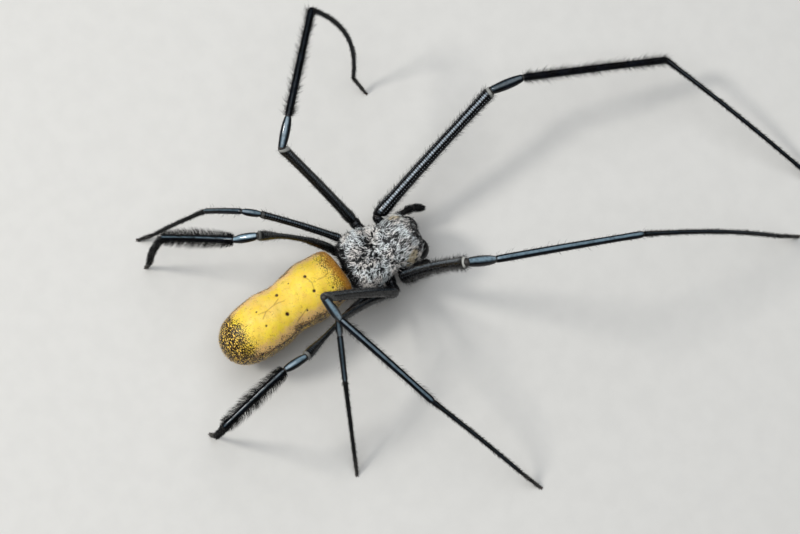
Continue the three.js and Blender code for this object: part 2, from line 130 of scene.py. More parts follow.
# A surface gives points for shares around (0 is the left side, 0.25 the top) and along it. Marks and
# weights are worked out from the points and the same two shares. The stations list [ahead, half width,
# height of the widest line, top, bottom]. The powers square the section off, above and below.
def loftSurface(stations, powers, inset=0, shape=None):
    table = np.array(stations, float)
    endTaper = 1.2  # half width below which the inset fades

    def surface(around, along):
        ahead, width, middle, top, bottom = curveThrough(table, along).T
        angle = 2 * math.pi * around
        wide, high = np.cos(angle), np.sin(angle)
        power = np.where(high >= 0, powers[0], powers[1])
        taper = smoothStep(width, 0, endTaper) * inset
        reach = np.maximum(width, 0) - taper
        rise = np.where(high >= 0, top - middle, middle - bottom) - taper
        points = np.stack([
            reach * np.sign(wide) * np.abs(wide) ** power,
            -ahead,
            middle + rise * np.sign(high) * np.abs(high) ** power,
        ], 1)
        if shape:
            points = shape(points)
        return points + bodyMiddle

    return surface


limbBuild = {
    "cap": [[0.62, 0], [0.56, 0.42], [0.34, 0.8]],  # [past the end, width], in shares of the end's radius
    "rimWidth": 0.16,
}


# A round limb with soft ends. The outline lists [share of the length, radius]. Each stop is a plane
# that the limb ends at, given as a point and the direction away from the limb.
def limbSurface(start, end, outline, bow=(0, 0), stops=(), rimTaper=0.0, shape=None):
    axis = unit(end - start)
    length = np.linalg.norm(end - start)
    aside, dorsal = crossWays(axis)
    first, last = outline[0][1], outline[-1][1]
    cap = limbBuild["cap"]
    profile = [[-out * first, wide * first] for out, wide in cap]
    profile += [[share * length, radius] for share, radius in outline]
    profile += [[length + out * last, wide * last] for out, wide in reversed(cap)]
    profile = np.array(profile)

    def surface(around, along):
        reach, radius = curveThrough(profile, along).T
        radius = np.maximum(radius, 0)
        share = np.clip(reach / length, 0, 1)
        swing = 4 * share * (1 - share)
        centre = start + axis * reach[:, None]
        centre = centre + np.outer(swing, aside * bow[1] + dorsal * bow[0])
        angle = 2 * math.pi * around
        out = np.cos(angle)[:, None] * aside + np.sin(angle)[:, None] * dorsal
        points = centre + out * radius[:, None]
        for spot, way in stops:
            past = (points - spot) @ way
            rim = 1 - rimTaper * bell(np.minimum(past, 0), limbBuild["rimWidth"])
            points = centre + (points - centre) * rim[:, None]
        for spot, way in stops:
            past = np.maximum((points - spot) @ way, 0)
            points = points - np.outer(past / (axis @ way), axis)
        return shape(points) if shape else points

    return surface


# A small limb from a dictionary with its root, tip and outline, where spotAt puts the two ends
def budSurface(bud, spotAt, side=1):
    return limbSurface(spotAt(bud["root"], side), spotAt(bud["tip"], side), bud["outline"])


# Meshes
# Quads between rings of points, and triangles to a pole at each end
def gridFaces(rings, around):
    ring = np.arange(rings - 1)[:, None] * around
    spot = np.arange(around)[None, :]
    after = (spot + 1) % around
    quads = np.stack([ring + spot, ring + around + spot, ring + around + after, ring + after], -1)
    quads = quads.reshape(-1, 4) + 1
    lastPole = rings * around + 1
    low = 1 + spot[0]
    high = 1 + (rings - 1) * around + spot[0]
    front = np.stack([np.zeros(around, int), low, 1 + after[0]], 1)
    back = np.stack([high, np.full(around, lastPole), 1 + (rings - 1) * around + after[0]], 1)
    return quads.tolist() + front.tolist() + back.tolist()


# The points and faces of a closed surface, with what its marks function gives at each point
def closedMesh(surface, rings, around, material=0, marks=None):
    along = np.linspace(0, 1, rings + 2)
    aroundGrid, alongGrid = np.meshgrid(np.arange(around) / around, along[1:-1])
    aroundAll = np.concatenate([[0.25], aroundGrid.ravel(), [0.25]])
    alongAll = np.concatenate([[0], alongGrid.ravel(), [1]])
    points = surface(aroundAll, alongAll)
    values = marks(points, aroundAll, alongAll) if marks else {}
    return {"points": points, "faces": gridFaces(rings, around), "material": material, "marks": values}


def addObject(name, data):
    made = bpy.data.objects.new(name, data)
    bpy.context.scene.collection.objects.link(made)
    return made


def setMark(mesh, mark, values):
    mesh.attributes.new(mark, "FLOAT", "POINT").data.foreach_set("value", values.astype(np.float32))


# One smooth piece from several closed meshes, in place of the solids it replaces
def addPiece(name, parts, materials, replaced=()):
    faces = []
    indices = []
    start = 0
    for part in parts:
        faces += [[corner + start for corner in face] for face in part["faces"]]
        indices += [part["material"]] * len(part["faces"])
        start += len(part["points"])
    mesh = bpy.data.meshes.new(name)
    mesh.from_pydata((np.vstack([part["points"] for part in parts]) * mm).tolist(), [], faces)
    for material in materials:
        mesh.materials.append(material)
    mesh.polygons.foreach_set("material_index", indices)
    mesh.polygons.foreach_set("use_smooth", [True] * len(faces))
    for mark in sorted({key for part in parts for key in part["marks"]}):
        values = [part["marks"].get(mark, np.zeros(len(part["points"]))) for part in parts]
        setMark(mesh, mark, np.concatenate(values))
    mesh.update()
    piece = addObject(name, mesh)
    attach(piece, "root")
    if replaced:
        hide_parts(*replaced)


# Hair
hairBuild = {
    "rootDepth": 0.05,
    "rootWidth": 0.5,
    "middleWidth": 0.42,
    "floorGap": 0.01,
    "patch": 0.0015,  # radius of a hair's patch on the unwrap
    "tries": 4,  # places drawn for each one kept
}


# Places on a surface, even over its area unless weight says otherwise
def scatter(surface, count, seed, around=(0, 1), along=(0, 1), weight=None):
    rng = np.random.default_rng(seed)
    count = max(int(count * hairShare), 1)
    tries = count * hairBuild["tries"]
    aroundShare = rng.uniform(*around, tries)
    alongShare = rng.uniform(*along, tries)
    step = 1e-3
    points = surface(aroundShare, alongShare)
    sideways = surface(aroundShare + step, alongShare) - surface(aroundShare - step, alongShare)
    forward = surface(aroundShare, np.minimum(alongShare + step, 1))
    forward = forward - surface(aroundShare, np.maximum(alongShare - step, 0))
    outward = np.cross(forward, sideways)
    chance = np.linalg.norm(outward, axis=1)
    if weight:
        chance = chance * weight(points, aroundShare, alongShare)
    chosen = rng.choice(len(points), count, replace=False, p=chance / chance.sum())
    return {
        "points": points[chosen],
        "outward": unit(outward[chosen]),
        "unwrap": np.stack([aroundShare[chosen] % 1, alongShare[chosen]], 1),
        "random": rng.uniform(0, 1, (count, 4)),
    }


# Tapered hairs of three sides with their roots sunk in. Lean and curl are degrees: the lean is the
# angle to the skin at the root, and the curl is how far the tip lies down from it.
def growHair(roots, lie, length, width, lean, curl, tone):
    points, outward = roots["points"], roots["outward"]
    count = len(points)
    length, width, lean = (np.broadcast_to(value, count) for value in (length, width, lean))
    lie = unit(lie - outward * np.sum(lie * outward, 1, keepdims=True))
    across = np.cross(outward, lie)

    def tilted(angle):
        angle = np.radians(angle)[:, None]
        return np.cos(angle) * lie + np.sin(angle) * outward

    rise = tilted(lean)
    fall = tilted(lean - curl)
    middle = points + rise * (length / 2)[:, None]
    tip = middle + fall * (length / 2)[:, None]
    back = np.cross(rise, across)
    corners = []
    sunk = points - outward * hairBuild["rootDepth"]
    for centre, thick in ((sunk, hairBuild["rootWidth"]), (middle, hairBuild["middleWidth"])):
        for turn in np.radians([90, 210, 330]):
            way = math.cos(turn) * across - math.sin(turn) * back
            corners.append(centre + way * (width * thick)[:, None])
    corners.append(tip)
    verts = np.stack(corners, 1).reshape(-1, 3)
    template = [[2, 1, 0], [3, 5, 6], [5, 4, 6], [4, 3, 6]]
    for k in range(3):
        after = (k + 1) % 3
        template += [[k, after, after + 3], [k, after + 3, k + 3]]
    faces = (np.array(template)[None] + 7 * np.arange(count)[:, None, None]).reshape(-1, 3)
    patch = hairBuild["patch"]
    turns = np.radians(np.arange(6) * 60)
    offsets = np.vstack([patch * np.stack([np.cos(turns), np.sin(turns)], 1), [[0, 0]]])
    unwrap = np.clip(roots["unwrap"], patch, 1 - patch)[:, None] + offsets[None]
    return {
        "points": verts,
        "faces": faces,
        "unwrap": unwrap.reshape(-1, 2),
        "tone": np.repeat(tone, 7),
        "rise": np.tile([0, 0, 0, 0.5, 0.5, 0.5, 1], count),
    }


# Hair with some chance in it. Length, lean and tone are each [least, how much more at most].
def growLoose(roots, way, stray, length, width, lean, curl, tone, power=1):
    chance = roots["random"]
    return growHair(
        roots,
        way + (chance[:, :3] - 0.5) * stray,
        length[0] + length[1] * chance[:, 0] ** power,
        width,
        lean[0] + lean[1] * chance[:, 1],
        curl,
        tone[0] + tone[1] * chance[:, 3],
    )


# One coat piece from several growths. Each growth keeps to its own strip of the unwrap.
def addCoat(name, growths, material):
    points = np.vstack([growth["points"] for growth in growths])
    points[:, 2] = np.maximum(points[:, 2], hairBuild["floorGap"])
    faces = []
    unwraps = []
    start = 0
    for i, growth in enumerate(growths):
        faces.append(growth["faces"] + start)
        start += len(growth["points"])
        unwraps.append((growth["unwrap"] + [0, i]) / [1, len(growths)])
    faces = np.vstack(faces)
    unwrap = np.vstack(unwraps)
    mesh = bpy.data.meshes.new(name)
    mesh.vertices.add(len(points))
    mesh.vertices.foreach_set("co", (points * mm).astype(np.float32).ravel())
    mesh.loops.add(faces.size)
    mesh.loops.foreach_set("vertex_index", faces.astype(np.int32).ravel())
    mesh.polygons.add(len(faces))
    mesh.polygons.foreach_set("loop_start", np.arange(0, faces.size, 3, dtype=np.int32))
    mesh.polygons.foreach_set("loop_total", np.full(len(faces), 3, np.int32))
    mesh.update(calc_edges=True)
    mesh.polygons.foreach_set("use_smooth", np.zeros(len(faces), bool))
    layer = mesh.uv_layers.new(name="OFBake")
    layer.data.foreach_set("uv", unwrap[faces.ravel()].astype(np.float32).ravel())
    for mark in ("tone", "rise"):
        setMark(mesh, mark, np.concatenate([growth[mark] for growth in growths]))
    mesh.materials.append(material)
    mesh.update()
    piece = addObject(name, mesh)
    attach(piece, "root")
    print(f"{name}: {len(faces)} triangles")


# Materials
def colour(red, green, blue):
    share = np.array([red, green, blue]) / 255
    linear = np.where(share <= 0.04045, share / 12.92, ((share + 0.055) / 1.055) ** 2.4)
    return (*[float(value) for value in linear], 1.0)


class Look:
    def __init__(self, name, **sockets):
        self.material = bpy.data.materials.new(name)
        self.material.use_nodes = True
        self.tree = self.material.node_tree
        self.shader = self.tree.nodes["Principled BSDF"]
        self.where = self.node("ShaderNodeTexCoord").outputs["Object"]
        for socket, value in sockets.items():
            self.shader.inputs[socket].default_value = value

    def node(self, kind, **settings):
        made = self.tree.nodes.new(kind)
        for key, value in settings.items():
            setattr(made, key, value)
        return made

    def plug(self, value, socket):
        if isinstance(value, bpy.types.NodeSocket):
            self.tree.links.new(value, socket)
        else:
            socket.default_value = value

    def mark(self, name):
        return self.node("ShaderNodeAttribute", attribute_name=name).outputs["Fac"]

    # Noise whose lumps are about size millimetres across
    def noise(self, size, detail=3, rough=0.5):
        made = self.node("ShaderNodeTexNoise")
        self.plug(self.where, made.inputs["Vector"])
        made.inputs["Scale"].default_value = 1 / (size * mm)
        made.inputs["Detail"].default_value = detail
        made.inputs["Roughness"].default_value = rough
        return made.outputs["Fac"]

    # Distance from the nearest of many points, about size millimetres apart
    def cells(self, size):
        made = self.node("ShaderNodeTexVoronoi")
        self.plug(self.where, made.inputs["Vector"])
        made.inputs["Scale"].default_value = 1 / (size * mm)
        return made.outputs["Distance"]

    # Noise from minus half to half of the reach
    def swing(self, size, detail, reach):
        return self.times(self.maths("SUBTRACT", self.noise(size, detail), 0.5), reach)

    def maths(self, operation, first, second=0.0, clamp=False):
        made = self.node("ShaderNodeMath", operation=operation, use_clamp=clamp)
        self.plug(first, made.inputs[0])
        self.plug(second, made.inputs[1])
        return made.outputs[0]

    def times(self, first, second, clamp=False):
        return self.maths("MULTIPLY", first, second, clamp)

    def plus(self, first, second):
        return self.maths("ADD", first, second)

    # A soft step from outLow, where the value is low, to outHigh
    def spread(self, value, low, high, outLow=0.0, outHigh=1.0):
        made = self.node("ShaderNodeMapRange", interpolation_type="SMOOTHSTEP")
        self.plug(value, made.inputs["Value"])
        limits = {"From Min": low, "From Max": high, "To Min": outLow, "To Max": outHigh}
        for socket, number in limits.items():
            made.inputs[socket].default_value = number
        return made.outputs["Result"]

    def mix(self, share, first, second):
        made = self.node("ShaderNodeMix", data_type="RGBA")
        self.plug(share, made.inputs[0])
        self.plug(first, made.inputs[6])
        self.plug(second, made.inputs[7])
        return made.outputs[2]

    # Noise sharpened to a soft step between two of its levels
    def cloud(self, size, detail, low, high, outLow=0.0, outHigh=1.0):
        return self.spread(self.noise(size, detail), low, high, outLow, outHigh)

    # The tint over a base, as strong as its share
    def layer(self, base, tint, share, strength):
        return self.mix(self.times(share, strength), base, tint)

    def bump(self, height, depth, strength, under=None):
        made = self.node("ShaderNodeBump")
        made.inputs["Strength"].default_value = strength
        made.inputs["Distance"].default_value = depth * mm
        self.plug(height, made.inputs["Height"])
        if under:
            self.plug(under, made.inputs["Normal"])
        return made.outputs["Normal"]

    def finish(self, base, normal=None, rough=None):
        self.plug(base, self.shader.inputs["Base Color"])
        if normal:
            self.plug(normal, self.shader.inputs["Normal"])
        if rough:
            self.plug(rough, self.shader.inputs["Roughness"])
        return self.material


# Camera and studio
view = {
    "aim": [0.49, -3.22, 8],
    "elevation": 75,
    "distance": 340,
    "upTurn": 57.1,  # the picture's upward direction on the floor, turned from ahead to the left
    "lens": 124.5,
    "sensorWidth": 36,
    "clipStart": 0.01,  # metres
}


def makeCamera():
    aim = Vector(place(view["aim"]) * mm)
    up = Vector(heading([view["upTurn"], 0]))
    lift = math.radians(view["elevation"])
    away = -up * math.cos(lift) + Vector((0, 0, math.sin(lift)))
    data = bpy.data.cameras.new("camera")
    data.lens = view["lens"]
    data.sensor_width = view["sensorWidth"]
    data.clip_start = view["clipStart"]
    camera = addObject("camera", data)
    camera.location = aim + away * view["distance"] * mm
    camera.rotation_mode = "QUATERNION"
    camera.rotation_quaternion = (-away).to_track_quat("-Z", "Y")
    bpy.context.scene.camera = camera
    return aim, up


studio = {
    "floor": colour(214, 212, 207),
    "floorShade": 0.97,  # the darker of its two tones
    "floorHalf": 1.5,  # metres
    "surround": (0.86, 0.9, 0.96, 1),
    "surroundStrength": 0.1,
    # lamps as [distance along the picture's up, along its right, height, size, watts, colour], in metres
    "lamps": [
        [0.05, -0.08, 0.55, 0.8, 3.5, (0.93, 0.96, 1.0)],
        [0.02, -0.34, 0.36, 0.1, 1.0, (1.0, 0.98, 0.94)],
    ],
}


def makeStudio(aim, up):
    right = Vector((up.y, -up.x, 0))
    for i, (along, across, height, size, power, tint) in enumerate(studio["lamps"]):
        data = bpy.data.lights.new(f"lamp{i}", "AREA")
        data.shape = "DISK"
        data.size = size
        data.energy = power
        data.color = tint
        lamp = addObject(f"lamp{i}", data)
        lamp.location = Vector((aim.x, aim.y, 0)) + up * along + right * across + Vector((0, 0, height))
        lamp.rotation_mode = "QUATERNION"
        lamp.rotation_quaternion = (aim - lamp.location).to_track_quat("-Z", "Y")
    world = bpy.data.worlds.new("studio")
    world.use_nodes = True
    background = world.node_tree.nodes["Background"]
    background.inputs["Color"].default_value = studio["surround"]
    background.inputs["Strength"].default_value = studio["surroundStrength"]
    bpy.context.scene.world = world
    bpy.context.scene.view_settings.view_transform = "Standard"
    look = Look("floorPaper", Roughness=0.9)
    grain = look.cloud(2.5, 5, 0.3, 0.7)
    darker = tuple(value * studio["floorShade"] for value in studio["floor"][:3]) + (1,)
    half = studio["floorHalf"]
    mesh = bpy.data.meshes.new("floor")
    corners = [(-half, -half, 0), (half, -half, 0), (half, half, 0), (-half, half, 0)]
    mesh.from_pydata(corners, [], [(0, 1, 2, 3)])
    mesh.materials.append(look.finish(look.mix(grain, studio["floor"], darker)))
    floor = addObject("floor", mesh)


aim, up = makeCamera()
makeStudio(aim, up)
print("camera and studio ready")

# Finishes shared by several pieces
shellTints = {
    "black": colour(4, 4, 5),
    "blueBlack": colour(15, 19, 27),
    "smoke": colour(10, 10, 11),
    # painted highlight: the pale bluish band along the top of the leg shells
    "paintedSheen": colour(150, 178, 194),
    # painted glints: the pale dots in rows on the femora
    "speck": colour(168, 176, 184),
    # painted highlight: the pale bands across the top of the femora
    "band": colour(200, 216, 232),
    "joint": colour(52, 49, 46),
    "jointDark": colour(18, 16, 16),
    # the pale knee ring: a pale joint membrane, partly a painted highlight
    "paleJointAndGlint": colour(184, 184, 178),
    "footGrey": colour(30, 29, 29),
    "horn": colour(60, 26, 14),
}


# Sizes in the shells' grain, in millimetres
shellGrain = {
    "patches": 1.4,
    "sheenStreaks": 0.4,
    "jitter": 0.9,
    "glintBands": 0.5,
    "dents": 0.35,
    "dentDepth": 0.02,
    "gloss": 0.5,
}


# Shell with fine pores. The rough values are the finest and coarsest gloss. The band strength is how strong
# the painted highlight is, a pale bluish band painted along the top, and gloss is how strong its clear coat
# is there. A rim mark gives the pale ring at the knee, a pale joint membrane that is partly a painted
# highlight.
# The specks are painted glints, pale dots in rows, as radians in a millimetre and in a turn, with painted
# highlight bands across the top.
def shellLook(
    name, tint, second, rough, specular, paintedSheen=0, gloss=0, pore=0.12, poreDepth=0.012, glintSpecks=None,
):
    look = Look(name, **{"Specular IOR Level": specular, "Coat Roughness": 0.12, "Coat IOR": 1.9})
    grain = shellGrain
    patches = look.cloud(grain["patches"], 4, 0.35, 0.7)
    base = look.mix(patches, tint, second)
    # painted highlight: a streaky pale bluish band in the base colour along the top
    if paintedSheen:
        sheenStreaks = look.cloud(grain["sheenStreaks"], 4, 0.3, 0.6, 0.6 * paintedSheen, paintedSheen)
        base = look.layer(base, shellTints["paintedSheen"], look.mark("top"), sheenStreaks)
    # painted glints: pale dots in rows on the sides, and painted highlight bands across the top
    if glintSpecks:
        jitter = look.times(look.noise(grain["jitter"], 3), 7)
        ticks = look.maths("SINE", look.plus(look.times(look.mark("reach"), glintSpecks[0]), jitter))
        rows = look.maths("COSINE", look.plus(look.times(look.mark("turn"), glintSpecks[1]), jitter))
        dots = look.spread(look.plus(ticks, rows), 1.45, 1.85)
        base = look.layer(base, shellTints["speck"], dots, look.mark("side"))
        # painted highlight bands across the top
        glintBands = look.times(look.spread(ticks, -0.4, 0.6), look.mark("top"))
        uneven = look.cloud(grain["glintBands"], 3, 0.35, 0.65, 0.2, 0.75)
        base = look.layer(base, shellTints["band"], glintBands, uneven)
    # the pale knee ring, a joint membrane partly painted as a highlight
    base = look.mix(look.mark("rim"), base, shellTints["paleJointAndGlint"])
    if gloss:
        look.plug(look.times(look.mark("top"), gloss), look.shader.inputs["Coat Weight"])
    pores = look.spread(look.cells(pore), 0.0, 0.45)
    dents = look.noise(grain["dents"], 4)
    normal = look.bump(dents, grain["dentDepth"], 0.5, look.bump(pores, poreDepth, 0.7))
    return look.finish(base, normal, look.cloud(grain["gloss"], 3, 0.3, 0.75, *rough))


hairTints = {
    "cheek": colour(188, 172, 138),  # for hair whose tone is far past 1
    "tipLight": 0.35,
}


# Hair from dark to light by its tone, a little lighter at its tip. The warm tint comes in clouds.
def hairLook(name, dark, light, rough, sheen, specular=0.5, warm=None):
    look = Look(name, **{"Sheen Weight": sheen, "Sheen Roughness": 0.4, "Specular IOR Level": specular})
    if warm:
        light = look.mix(look.cloud(1.8, 3, 0.4, 0.6), light, warm)
    base = look.mix(look.spread(look.mark("tone"), 0.05, 0.95), dark, light)
    base = look.mix(look.spread(look.mark("tone"), 1.4, 1.6), base, hairTints["cheek"])
    tipShare = look.times(look.mark("rise"), hairTints["tipLight"])
    tip = look.mix(look.times(tipShare, look.mark("tone"), True), base, light)
    return look.finish(tip, rough=look.cloud(0.4, 2, 0.3, 0.7, rough - 0.08, rough + 0.1))


black, blueBlack, smoke = (shellTints[tint] for tint in ("black", "blueBlack", "smoke"))
looks = {
    # the femur, patella and shin shells carry the painted highlight band, and the femur painted glints too
    "femur": shellLook(
        "femurShell", black, smoke, (0.2, 0.32), 0.2, 0.35, 0.8, pore=0.2, poreDepth=0.04, glintSpecks=[19, 76],
    ),
    "patella": shellLook("patellaShell", black, blueBlack, (0.14, 0.24), 0.2, 1.0, 1.0, poreDepth=0.004),
    "shin": shellLook("shinShell", black, blueBlack, (0.16, 0.26), 0.15, 0.75, 0.9, poreDepth=0.008),
    "foot": shellLook("footShell", black, shellTints["footGrey"], (0.4, 0.5), 0.15),
    "joint": shellLook(
        "jointSkin", shellTints["joint"], shellTints["jointDark"], (0.35, 0.45), 0.3, pore=0.08,
    ),
    "jaw": shellLook(
        "jawShell", colour(2, 2, 3), colour(5, 5, 6), (0.3, 0.4), 0.03, pore=0.16, poreDepth=0.01,
    ),
    "boss": shellLook(
        "jawBoss", colour(190, 160, 118), colour(128, 98, 66), (0.35, 0.45), 0.4, pore=0.1,
    ),
    "horn": shellLook(
        "clawHorn", colour(20, 12, 9), shellTints["horn"], (0.16, 0.26), 0.5, poreDepth=0.002,
    ),
    "legHair": hairLook("legHair", colour(3, 3, 4), colour(20, 20, 21), 0.4, 0, 0.12),
    "brushHair": hairLook("brushHair", colour(3, 3, 4), colour(18, 18, 18), 0.45, 0, 0.1),
    "footHair": hairLook("footHair", colour(18, 18, 17), colour(84, 80, 74), 0.6, 0.1),
    "silverHair": hairLook(
        "silverHair", colour(6, 6, 7), colour(238, 243, 243), 0.36, 0, 0.25, warm=colour(244, 239, 233),
    ),
}
print("finishes ready")

# Carapace, sternum and mouthparts: one skin under silver hair
carapace = {
    "stations": [
        [4.85, 0, 7.3, 7.3, 7.3],
        [4.72, 1.4, 7.25, 8.2, 6.75],
        [4.25, 2.35, 7.15, 9.0, 6.5],
        [3.2, 3.2, 7.0, 9.65, 6.3],
        [2.1, 3.3, 6.9, 9.75, 6.25],
        [0.6, 3.18, 6.85, 9.3, 6.3],
        [-0.6, 3.48, 6.85, 8.9, 6.45],
        [-2.2, 3.78, 6.85, 9.15, 6.5],
        [-3.5, 3.66, 6.85, 8.85, 6.5],
        [-4.6, 2.8, 6.85, 8.1, 6.5],
        [-4.95, 2.0, 6.85, 7.6, 6.55],
        [-5.05, 0, 6.85, 6.85, 6.85],
    ],
    "powers": [0.82, 0.75],
    "hairDepth": 0.08,
    # grooves as corners [aside, ahead] of the left one, with depth and width
    "grooves": [
        [[[0.2, -2.2], [0.9, -1.4], [1.7, -0.3], [2.5, 0.5], [3.5, 1.0]], 0.24, 0.3],
        [[[0.2, -2.3], [2.0, -1.3], [3.7, -0.6]], 0.12, 0.3],
        [[[0.2, -2.5], [2.2, -2.4], [3.8, -2.5]], 0.12, 0.3],
        [[[0.2, -2.7], [1.7, -3.5], [2.9, -4.3]], 0.1, 0.3],
        [[[0, -2.7], [0.3, -2.95]], 0.14, 0.28],
    ],
    "swells": [[1.5, 2.9, 0.12, 0.9], [2.2, -1.9, 0.1, 0.8]],  # [aside, ahead, height, width]
    "rim": [6.85, 0.16, 0.05],  # [height above the floor, width, how far it stands out]
    # as [aside, ahead, width, depth]; the first is painted shadow at the foot of each horn
    "darkPatchesAndShadows": [
        [0.62, -1.35, 0.4, 1.1],
        [0, 1.95, 0.16, 0.7],
        [0.45, 4.6, 0.4, 0.6],
        [0.7, 4.2, 0.3, 0.4],
        [1.65, 4.4, 0.45, 0.5],
        [0, -2.9, 0.38, 0.9],
        [2.6, -1.4, 0.4, 0.25],
    ],
    "horn": {
        "root": [-1.2, 0.68, 8.72],
        "rise": [0.05, -0.06, 0.5],
        "outline": [[0, 0.3], [0.4, 0.24], [1, 0.06]],
    },
    "eyeKnob": [3.9, 1.92, 8.08],
}


def carveCarapace(points):
    plan = np.stack([np.abs(points[:, 0]), -points[:, 1]], 1)
    above = smoothStep(points[:, 2], 6.95, 7.7)
    drop = np.zeros(len(points))
    for corners, depth, width in carapace["grooves"]:
        drop += depth * bell(distanceToLine(plan, corners), width)
    for aside, ahead, height, width in carapace["swells"]:
        apart = np.linalg.norm(plan - [aside, ahead], axis=1)
        drop -= height * bell(apart, width)
    rimHeight, rimWidth, rimReach = carapace["rim"]
    rim = bell(points[:, 2] - rimHeight, rimWidth) * rimReach
    carved = points.copy()
    carved[:, 0] += np.sign(points[:, 0]) * rim
    carved[:, 2] -= drop * above
    return turned(carved, thoraxYaw)


# How silvery the hair is, from 0 to 1: a pale stripe and head, with dark grooves, patches and eyes, and
# painted shadow at the foot of each horn
def silverTone(points):
    plan = thoraxPlan(points)
    aside, ahead = np.abs(plan[:, 0]), plan[:, 1]
    flat = np.stack([aside, ahead], 1)
    tone = np.full(len(points), 0.6)
    stripe = bell(aside, 0.75) * smoothStep(ahead, -3.0, -1.8)
    tone += 0.34 * (stripe * (1 - smoothStep(ahead, 2.8, 4.2)))
    tone += 0.12 * bell(aside - 1.9, 0.6) * smoothStep(ahead, 0.5, 2.5)
    for corners, depth, _ in carapace["grooves"]:
        tone -= 0.9 * depth * bell(distanceToLine(flat, corners), 0.34)
    # dark patches, the first of them painted shadow cast by the horns
    for darkAside, darkAhead, width, depth in carapace["darkPatchesAndShadows"]:
        tone -= depth * bell(np.linalg.norm(flat - [darkAside, darkAhead], axis=1), width)
    tone -= 0.55 * smoothStep(ahead - 0.12 * aside**2, 3.9, 4.4)
    tone -= 0.5 * smoothStep(-ahead, 4.0, 4.6) + 0.35 * (1 - smoothStep(plan[:, 2], 6.7, 7.3))
    waves = np.sin(plan[:, 0] * 5.1 + 5) * np.sin(plan[:, 1] * 4.3 + plan[:, 0] * 1.7)
    waves += np.sin(plan[:, 0] * 11.3 + plan[:, 1] * 7.9) * np.sin(plan[:, 1] * 12.1 - plan[:, 0] * 4.7)
    return np.clip(tone + 0.07 * waves, 0, 1)


# The bare tan patch on each cheek, beside the jaws: an oval, leaning outward to the rear
cheek = {
    "middle": [2.6, 2.8],  # [ahead, aside]
    "lean": [0.9, 0.44],
    "halves": [1.2, 0.5],
    "tints": [colour(206, 194, 166), colour(160, 144, 116)],
}


# How much of the cheek patch is at each point, from 0 to 1
def cheekShare(points):
    plan = thoraxPlan(points)
    ahead, aside = plan[:, 1] - cheek["middle"][0], np.abs(plan[:, 0]) - cheek["middle"][1]
    (along, across), (length, width) = cheek["lean"], cheek["halves"]
    apart = np.hypot((ahead * along - aside * across) / length, (ahead * across + aside * along) / width)
    return 1 - smoothStep(apart, 0.75, 1.05)


def carapaceLook():
    look = Look("carapaceShell", **{"Specular IOR Level": 0.15})
    lumps = look.cloud(0.25, 4, 0.35, 0.65)
    dark = look.mix(lumps, colour(5, 5, 6), colour(18, 17, 18))
    base = look.layer(dark, colour(150, 150, 152), look.mark("tone"), 0.06)
    base = look.mix(look.mark("cheek"), base, look.mix(lumps, *cheek["tints"]))
    normal = look.bump(look.noise(0.12, 4), 0.03, 0.8)
    return look.finish(base, normal, look.spread(lumps, 0, 1, 0.45, 0.65))


dorsalSurface = loftSurface(carapace["stations"], carapace["powers"], carapace["hairDepth"], carveCarapace)

belly = {
    "sternum": [
        [2.5, 0, 5.6, 5.6, 5.6],
        [2.3, 1.2, 5.6, 7.1, 4.4],
        [1.2, 1.8, 5.5, 7.6, 4.0],
        [-0.6, 1.95, 5.5, 7.6, 3.9],
        [-2.4, 1.6, 5.5, 7.6, 4.0],
        [-3.9, 0.85, 5.6, 7.4, 4.3],
        [-4.35, 0, 5.8, 5.8, 5.8],
    ],
    "headFloor": [
        [4.1, 0, 6.3, 6.3, 6.3],
        [3.9, 1.5, 6.2, 7.6, 5.6],
        [3.0, 2.1, 6.0, 8, 4.9],
        [1.9, 1.9, 5.8, 8, 4.3],
        [0.9, 0, 5.6, 5.6, 5.6],
    ],
    "inset": 0.03,
    "knobs": [1.3, 0.1, -1.1, -2.4],  # a knob at each hip, by its distance ahead
    "mouthPlate": {
        "root": [1.6, 1.0, 4.7],
        "tip": [2.45, 0.62, 4.0],
        "outline": [[0, 0.7], [0.5, 0.66], [1, 0.5]],
    },
    "lip": {"root": [1.7, 0, 4.4], "tip": [2.6, 0, 4.1], "outline": [[0, 0.5], [0.5, 0.5], [1, 0.42]]},
}


def carveSternum(points):
    carved = points.copy()
    below = 1 - smoothStep(points[:, 2], 3.95, 4.9)
    ridge = 0.1 * bell(points[:, 0], 0.25)
    knobs = np.zeros(len(points))
    for ahead in belly["knobs"]:
        apart = np.hypot(np.abs(points[:, 0]) - 1.35, -points[:, 1] - ahead)
        knobs += 0.12 * bell(apart, 0.3)
    carved[:, 2] -= below * (ridge + knobs)
    return turned(carved, thoraxYaw)


sternumSurface = loftSurface(belly["sternum"], [0.7, 0.55], belly["inset"], carveSternum)


def sternumLook():
    look = Look("sternumShell", **{"Specular IOR Level": 0.5, "Coat Weight": 0.2, "Coat Roughness": 0.2})
    patches = look.cloud(0.9, 4, 0.42, 0.62)
    base = look.mix(patches, colour(28, 20, 16), colour(92, 62, 34))
    normal = look.bump(look.cells(0.14), 0.02, 0.7)
    return look.finish(base, normal, look.spread(patches, 0, 1, 0.4, 0.55))


